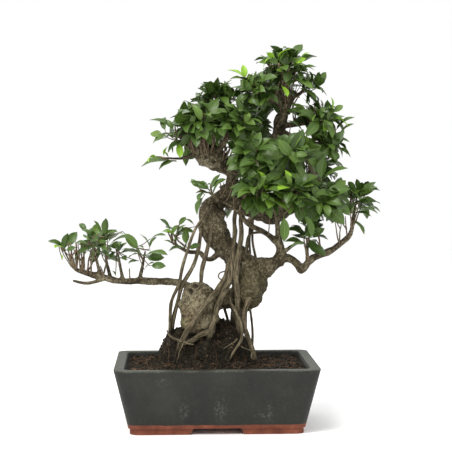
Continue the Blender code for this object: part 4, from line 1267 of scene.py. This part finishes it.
CRUMB_TRIES = 2600
FIBRES = 330
# Crumbs and fibres stay this share of the way from the middle of the soil to its edge.
CRUMB_EDGE = (0.97, 0.96)
FIBRE_EDGE = (0.95, 0.94)


def build_crumbs():
    """Loose crumbs of soil, each a small angular lump."""
    chance = random.Random(SEED + 1)
    bpy.ops.object.select_all(action="DESELECT")
    bpy.ops.mesh.primitive_ico_sphere_add(subdivisions=1, radius=1.0)
    lump = bpy.context.object
    pattern = np.array([vertex.co[:] for vertex in lump.data.vertices])
    faces = [tuple(polygon.vertices) for polygon in lump.data.polygons]
    bpy.data.objects.remove(lump, do_unlink=True)
    points, all_faces = [], []
    for index in range(CRUMB_TRIES):
        x = chance.uniform(-CRUMB_EDGE[0], CRUMB_EDGE[0]) * SOIL_HALF_X
        y = chance.uniform(-CRUMB_EDGE[1], CRUMB_EDGE[1]) * SOIL_HALF_Y
        if index % 3:
            x = (MOUND[0][0] + chance.gauss(0, 0.5) * MOUND[0][2]) * MM
            y = (MOUND[0][1] + chance.gauss(-0.3, 0.5) * MOUND[0][3]) * MM
        if abs(x) > CRUMB_EDGE[0] * SOIL_HALF_X or abs(y) > CRUMB_EDGE[1] * SOIL_HALF_Y:
            continue
        size = 0.5 * MM + abs(chance.gauss(0, 0.75)) * MM
        spin = Matrix.Rotation(chance.uniform(0, math.tau), 3, Vector([chance.gauss(0, 1) for _ in range(3)]))
        stretch = np.array([chance.uniform(0.6, 1.4) for _ in range(3)])
        place = np.array((x, y, rough_soil(x, y) + size * 0.25))
        jitter = np.array([[chance.uniform(0.75, 1.2)] for _ in pattern])
        start = len(points)
        points.extend((pattern * jitter * stretch @ np.array(spin).T * size + place).tolist())
        all_faces.extend([tuple(start + corner for corner in face) for face in faces])
    dress(from_points("loose_crumbs", points, all_faces), crumb_finish(), "soil")


def build_fibres():
    """Fine dead fibres that lie on the soil, and a few on the mound."""
    chance = random.Random(SEED + 2)
    routes = []
    while len(routes) < FIBRES:
        x = chance.uniform(-1, 1) * SOIL_HALF_X
        y = chance.uniform(-1, 0.9) * SOIL_HALF_Y
        if soil_height(x, y) > SOIL_LEVEL + 12 * MM and chance.random() < 0.97:
            continue
        heading = chance.uniform(0, math.tau)
        length = chance.uniform(5, 20) * MM
        route = []
        for step in range(7):
            if abs(x) > SOIL_HALF_X * FIBRE_EDGE[0] or abs(y) > SOIL_HALF_Y * FIBRE_EDGE[1]:
                break
            route.append((Vector((x, y, rough_soil(x, y) + 0.3 * MM)), chance.uniform(0.15, 0.36) * MM))
            heading += chance.uniform(-0.5, 0.5)
            x += math.cos(heading) * length / 6
            y += math.sin(heading) * length / 6
        if len(route) > 3:
            routes.append(route)
    fibres = drawn_tubes("soil_fibres", routes, 4)
    dress(fibres, fibre_finish(), "soil")


# Roots that run along the soil's surface: x, y and radius.
SURFACE_ROOTS = [
    [
        (-2, -67, 0.5), (6, -56, 0.8), (14, -47, 1.0), (24, -45, 1.0), (34, -47, 0.9), (40, -56, 0.7),
        (43, -66, 0.5),
    ],
    [
        (38, -66, 0.7), (48, -61, 0.9), (62, -54, 0.9), (74, -42, 0.9), (84, -14, 0.9), (92, 12, 0.8),
        (102, 38, 0.6),
    ],
    [(34, -46, 0.7), (44, -34, 0.8), (56, -24, 0.7), (64, -8, 0.5)],
    [(-47, -30, 1.1), (-52, -38, 1.0), (-56, -50, 0.7), (-64, -60, 0.4)],
    [(48, -26, 1.3), (60, -34, 1.0), (74, -36, 0.8), (90, -46, 0.5)],
    [(56, 32, 1.3), (68, 44, 1.0), (86, 50, 0.6)],
    [(-46, 26, 1.4), (-60, 34, 1.0), (-82, 42, 0.6)],
]


# Thin roots that leave the wood and cross the mound: x, y, height and radius.
FINE_ROOTS = [
    [(-61, -22, 46, 1.1), (-59, -27, 42, 1.3), (-54, -33, 38, 1.5), (-48, -40, 36, 1.5), (-43, -46, 35, 1.2)],
    [(-41, -47, 33, 0.8), (-43, -49, 29, 0.8), (-46, -51, 22, 0.7), (-47, -55, 16, 0.6), (-50, -60, 11, 0.5)],
    [(-41, -45, 35, 1.4), (-36, -46, 32, 1.3), (-28, -46, 31, 0.8)],
    [(8, -44, 25, 0.6), (15, -42, 29, 0.9), (21, -39, 32, 1.0), (26, -33, 36, 1.0)],
    [(29, -34, 28, 0.7), (33, -36, 26, 0.9), (37, -37, 24, 0.9), (46, -33, 21, 0.8)],
    [(44, -38, 19, 0.8), (43, -42, 15, 0.9), (46, -46, 12, 0.6)],
    [(-14, -33, 95, 0.6), (-10, -35, 95, 0.8), (-4, -36, 95, 0.8), (4, -35, 93, 0.7)],
    [(12, -24, 110, 0.9), (8, -27, 109, 0.9), (3, -28, 113, 0.9), (5, -27, 118, 0.8), (12, -24, 120, 0.8)],
]


def build_surface_roots(bark):
    """Thin roots that leave the wood and cross the soil and the mound."""
    routes = {}
    for index, stations in enumerate(SURFACE_ROOTS):
        route = []
        for x, y, radius in smooth_route(stations, 6):
            lift = soil_height(x * MM, y * MM) + 1.0 * MM
            route.append((Vector((x * MM, y * MM, lift)), radius * MM))
        routes[f"surface_root_{index}"] = wandering(route, 1.6 * MM, index)
    for index, stations in enumerate(FINE_ROOTS):
        route = [(above_soil(x, y, z), radius * MM) for x, y, z, radius in smooth_route(stations, 6)]
        routes[f"fine_root_{index}"] = wandering(route, 0.8 * MM, index)
    for name in routes:
        KINDS[name] = (0.1, 1.0, 0.0)
    roots = drawn_tubes("surface_roots", list(routes.values()), 8)
    mark_bark(roots, routes)
    dress(roots, bark, "bark")


# ---- the pot ----------------------------------------------------------------------------------

def pick_faces(piece, test):
    """In edit mode, select the faces whose middle and normal pass a test."""
    bpy.ops.mesh.select_mode(type="FACE")
    bpy.ops.mesh.select_all(action="DESELECT")
    bpy.ops.object.mode_set(mode="OBJECT")
    for polygon in piece.data.polygons:
        polygon.select = test(polygon.center, polygon.normal)
    bpy.ops.object.mode_set(mode="EDIT")


def pick_edges(piece, test):
    """In edit mode, select the edges whose two ends pass a test."""
    bpy.ops.mesh.select_mode(type="EDGE")
    bpy.ops.mesh.select_all(action="DESELECT")
    bpy.ops.object.mode_set(mode="OBJECT")
    points = piece.data.vertices
    for edge in piece.data.edges:
        edge.select = test(points[edge.vertices[0]].co, points[edge.vertices[1]].co)
    bpy.ops.object.mode_set(mode="EDIT")


def block(name, half_x, half_y, low, high):
    """A block in the middle of the pot, between two heights."""
    bpy.ops.object.select_all(action="DESELECT")
    middle = (0, 0, (low + high) / 2)
    bpy.ops.mesh.primitive_cube_add(size=2.0, location=middle, scale=(half_x, half_y, (high - low) / 2))
    settle(bpy.context.object)
    return named(name)


def resized(factor_x, factor_y, height):
    """Scale what is selected about the pot's middle."""
    bpy.ops.transform.resize(value=(factor_x, factor_y, 1), center_override=(0, 0, height))


def stepped(rise, half_x, half_y, inward, height):
    """Extrude the chosen face by a rise and draw its outline in."""
    bpy.ops.mesh.extrude_region_move(TRANSFORM_OT_translate={"value": (0, 0, rise)})
    resized((half_x - inward) / half_x, (half_y - inward) / half_y, height)


def cut_away(piece, tool):
    """Cut a tool's shape out of a piece."""
    step = piece.modifiers.new("cut", "BOOLEAN")
    step.operation = "DIFFERENCE"
    step.solver = "EXACT"
    step.object = tool
    apply_modifiers(piece)
    bpy.data.objects.remove(tool, do_unlink=True)


def build_pot():
    """Tapered body with a hollow, four feet on a band, and two drain holes."""
    base_x = POT_HALF_X - POT_TAPER
    base_y = POT_HALF_Y - POT_TAPER
    pot = block("pot_body", POT_HALF_X, POT_HALF_Y, FOOT_HEIGHT, POT_TOP)
    with editing(pot):
        pick_faces(pot, lambda middle, normal: normal.z < -0.9)
        resized(base_x / POT_HALF_X, base_y / POT_HALF_Y, FOOT_HEIGHT)
        pick_edges(pot, lambda one, two: abs(one.z - two.z) > POT_TOP / 2)
        bpy.ops.mesh.bevel(offset=CORNER_RADIUS, segments=8, affect="EDGES")
        pick_faces(pot, lambda middle, normal: normal.z > 0.9)
        stepped(0, POT_HALF_X, POT_HALF_Y, POT_WALL, POT_TOP)
        stepped(POT_FLOOR - POT_TOP, POT_HALF_X - POT_WALL, POT_HALF_Y - POT_WALL, POT_TAPER, POT_FLOOR)
        pick_faces(pot, lambda middle, normal: normal.z < -0.9)
        stepped(0, base_x, base_y, FOOT_INSET, FOOT_HEIGHT)
        stepped(-FOOT_HEIGHT, base_x, base_y, 0, 0)
        stepped(0, base_x - FOOT_INSET, base_y - FOOT_INSET, FOOT_WIDTH, 0)
        stepped(FOOT_HEIGHT, base_x, base_y, 0, FOOT_HEIGHT)
    for side in (-1, 1):
        bpy.ops.object.select_all(action="DESELECT")
        place = (side * DRAIN_X, 0, FOOT_HEIGHT + 4 * MM)
        bpy.ops.mesh.primitive_cylinder_add(vertices=32, radius=DRAIN_RADIUS, depth=30 * MM, location=place)
        drill = bpy.context.object
        settle(drill)
        cut_away(pot, drill)
    for half_gap, along_x in ((29 * MM, False), (23 * MM, True)):
        half_x = POT_HALF_X * 1.2 if along_x else half_gap
        half_y = half_gap if along_x else POT_HALF_Y * 1.2
        bar = block("gap_between_feet", half_x, half_y, -2 * MM, FOOT_HEIGHT + 0.3 * MM)
        with editing(bar):
            pick_faces(bar, lambda middle, normal: normal.z < -0.9)
            wider = (half_gap + 5 * MM) / half_gap
            resized(1 if along_x else wider, wider if along_x else 1, 0)
        cut_away(pot, bar)
    rounded = pot.modifiers.new("worn_edges", "BEVEL")
    rounded.width = 1.5 * MM
    rounded.segments = 3
    rounded.limit_method = "ANGLE"
    rounded.angle_limit = math.radians(35)
    apply_modifiers(pot)
    bpy.ops.object.shade_smooth_by_angle(angle=math.radians(38))
    dress(pot, pot_finish(), "pot_glaze", "pot")


# ---- light, floor and camera ------------------------------------------------------------------

FLOOR_HALF = 3.2
LIGHT_AIM = Vector((0, 0, 0.24))
# The camera stands in front, a little to one side, and looks slightly down.
CAMERA_DISTANCE = 1.5375
CAMERA_ASIDE = 13.64 * MM
CAMERA_HEIGHT = 0.3195
CAMERA_YAW = math.radians(2.6)
CAMERA_PITCH = math.radians(2.54)
SENSOR = 36
# The lens's length over the width of the sensor.
LENS_RATIO = 1217 / 452


def build_stage():
    """The floor under it all."""
    bpy.ops.object.select_all(action="DESELECT")
    bpy.ops.mesh.primitive_plane_add(size=2.0)
    floor = named("pale_floor")
    floor.scale = (FLOOR_HALF, FLOOR_HALF, 1)
    settle(floor)
    with editing(floor):
        bpy.ops.mesh.subdivide(number_cuts=3)
    floor.data.materials.append(floor_finish())


def area_light(name, place, size, power, tint):
    """A square soft light that points at the tree."""
    light = bpy.data.lights.new(name, "AREA")
    light.shape = "SQUARE"
    light.size = size
    light.energy = power
    light.color = tint
    lamp = bpy.data.objects.new(name, light)
    bpy.context.scene.collection.objects.link(lamp)
    lamp.location = place
    lamp.rotation_euler = (LIGHT_AIM - Vector(place)).to_track_quat("-Z", "Y").to_euler()


def build_light():
    """An even white room with a soft light from the front left and a weak one behind."""
    world = bpy.data.worlds.new("studio")
    world.use_nodes = True
    room = world.node_tree.nodes["Background"]
    room.inputs["Color"].default_value = (1, 1, 1, 1)
    room.inputs["Strength"].default_value = 1.0
    bpy.context.scene.world = world
    area_light("key_left", (-0.75, -0.9, 1.7), 1.0, 36, (1.0, 0.99, 0.96))
    area_light("back", (0.3, 1.5, 1.4), 1.2, 8, (1, 1, 1))
    scene = bpy.context.scene
    scene.view_settings.view_transform = "Standard"
    scene.view_settings.look = "None"


def build_camera():
    """Turned by its yaw and pitch, level from side to side."""
    ahead = Vector((math.sin(CAMERA_YAW), math.cos(CAMERA_YAW), 0))
    right = Vector((math.cos(CAMERA_YAW), -math.sin(CAMERA_YAW), 0))
    camera = bpy.data.cameras.new("camera")
    camera.sensor_width = SENSOR
    camera.lens = SENSOR * LENS_RATIO
    camera.clip_start = 0.05
    holder = bpy.data.objects.new("camera", camera)
    bpy.context.scene.collection.objects.link(holder)
    holder.location = -ahead * CAMERA_DISTANCE + right * CAMERA_ASIDE + Vector((0, 0, CAMERA_HEIGHT))
    holder.rotation_euler = (math.pi / 2 - CAMERA_PITCH, 0, -CAMERA_YAW)
    bpy.context.scene.camera = holder


def dress_hidden_pieces():
    """The solids inside the pot keep their shape and get their real finish."""
    finishes = {"drain_screen": screen_finish(), "screen_clip": wire_finish(), "drainage_grit": grit_finish()}
    for name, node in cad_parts.items():
        for start, finish in finishes.items():
            if name.startswith(start):
                for slot in node.material_slots:
                    slot.material = finish


build_camera()
build_light()
build_stage()
build_pot()
build_soil()
build_crumbs()
build_fibres()
bark_material = bark_finish()
limb_places = build_wood(bark_material)
build_surface_roots(bark_material)
build_leaves(limb_places)
dress_hidden_pieces()
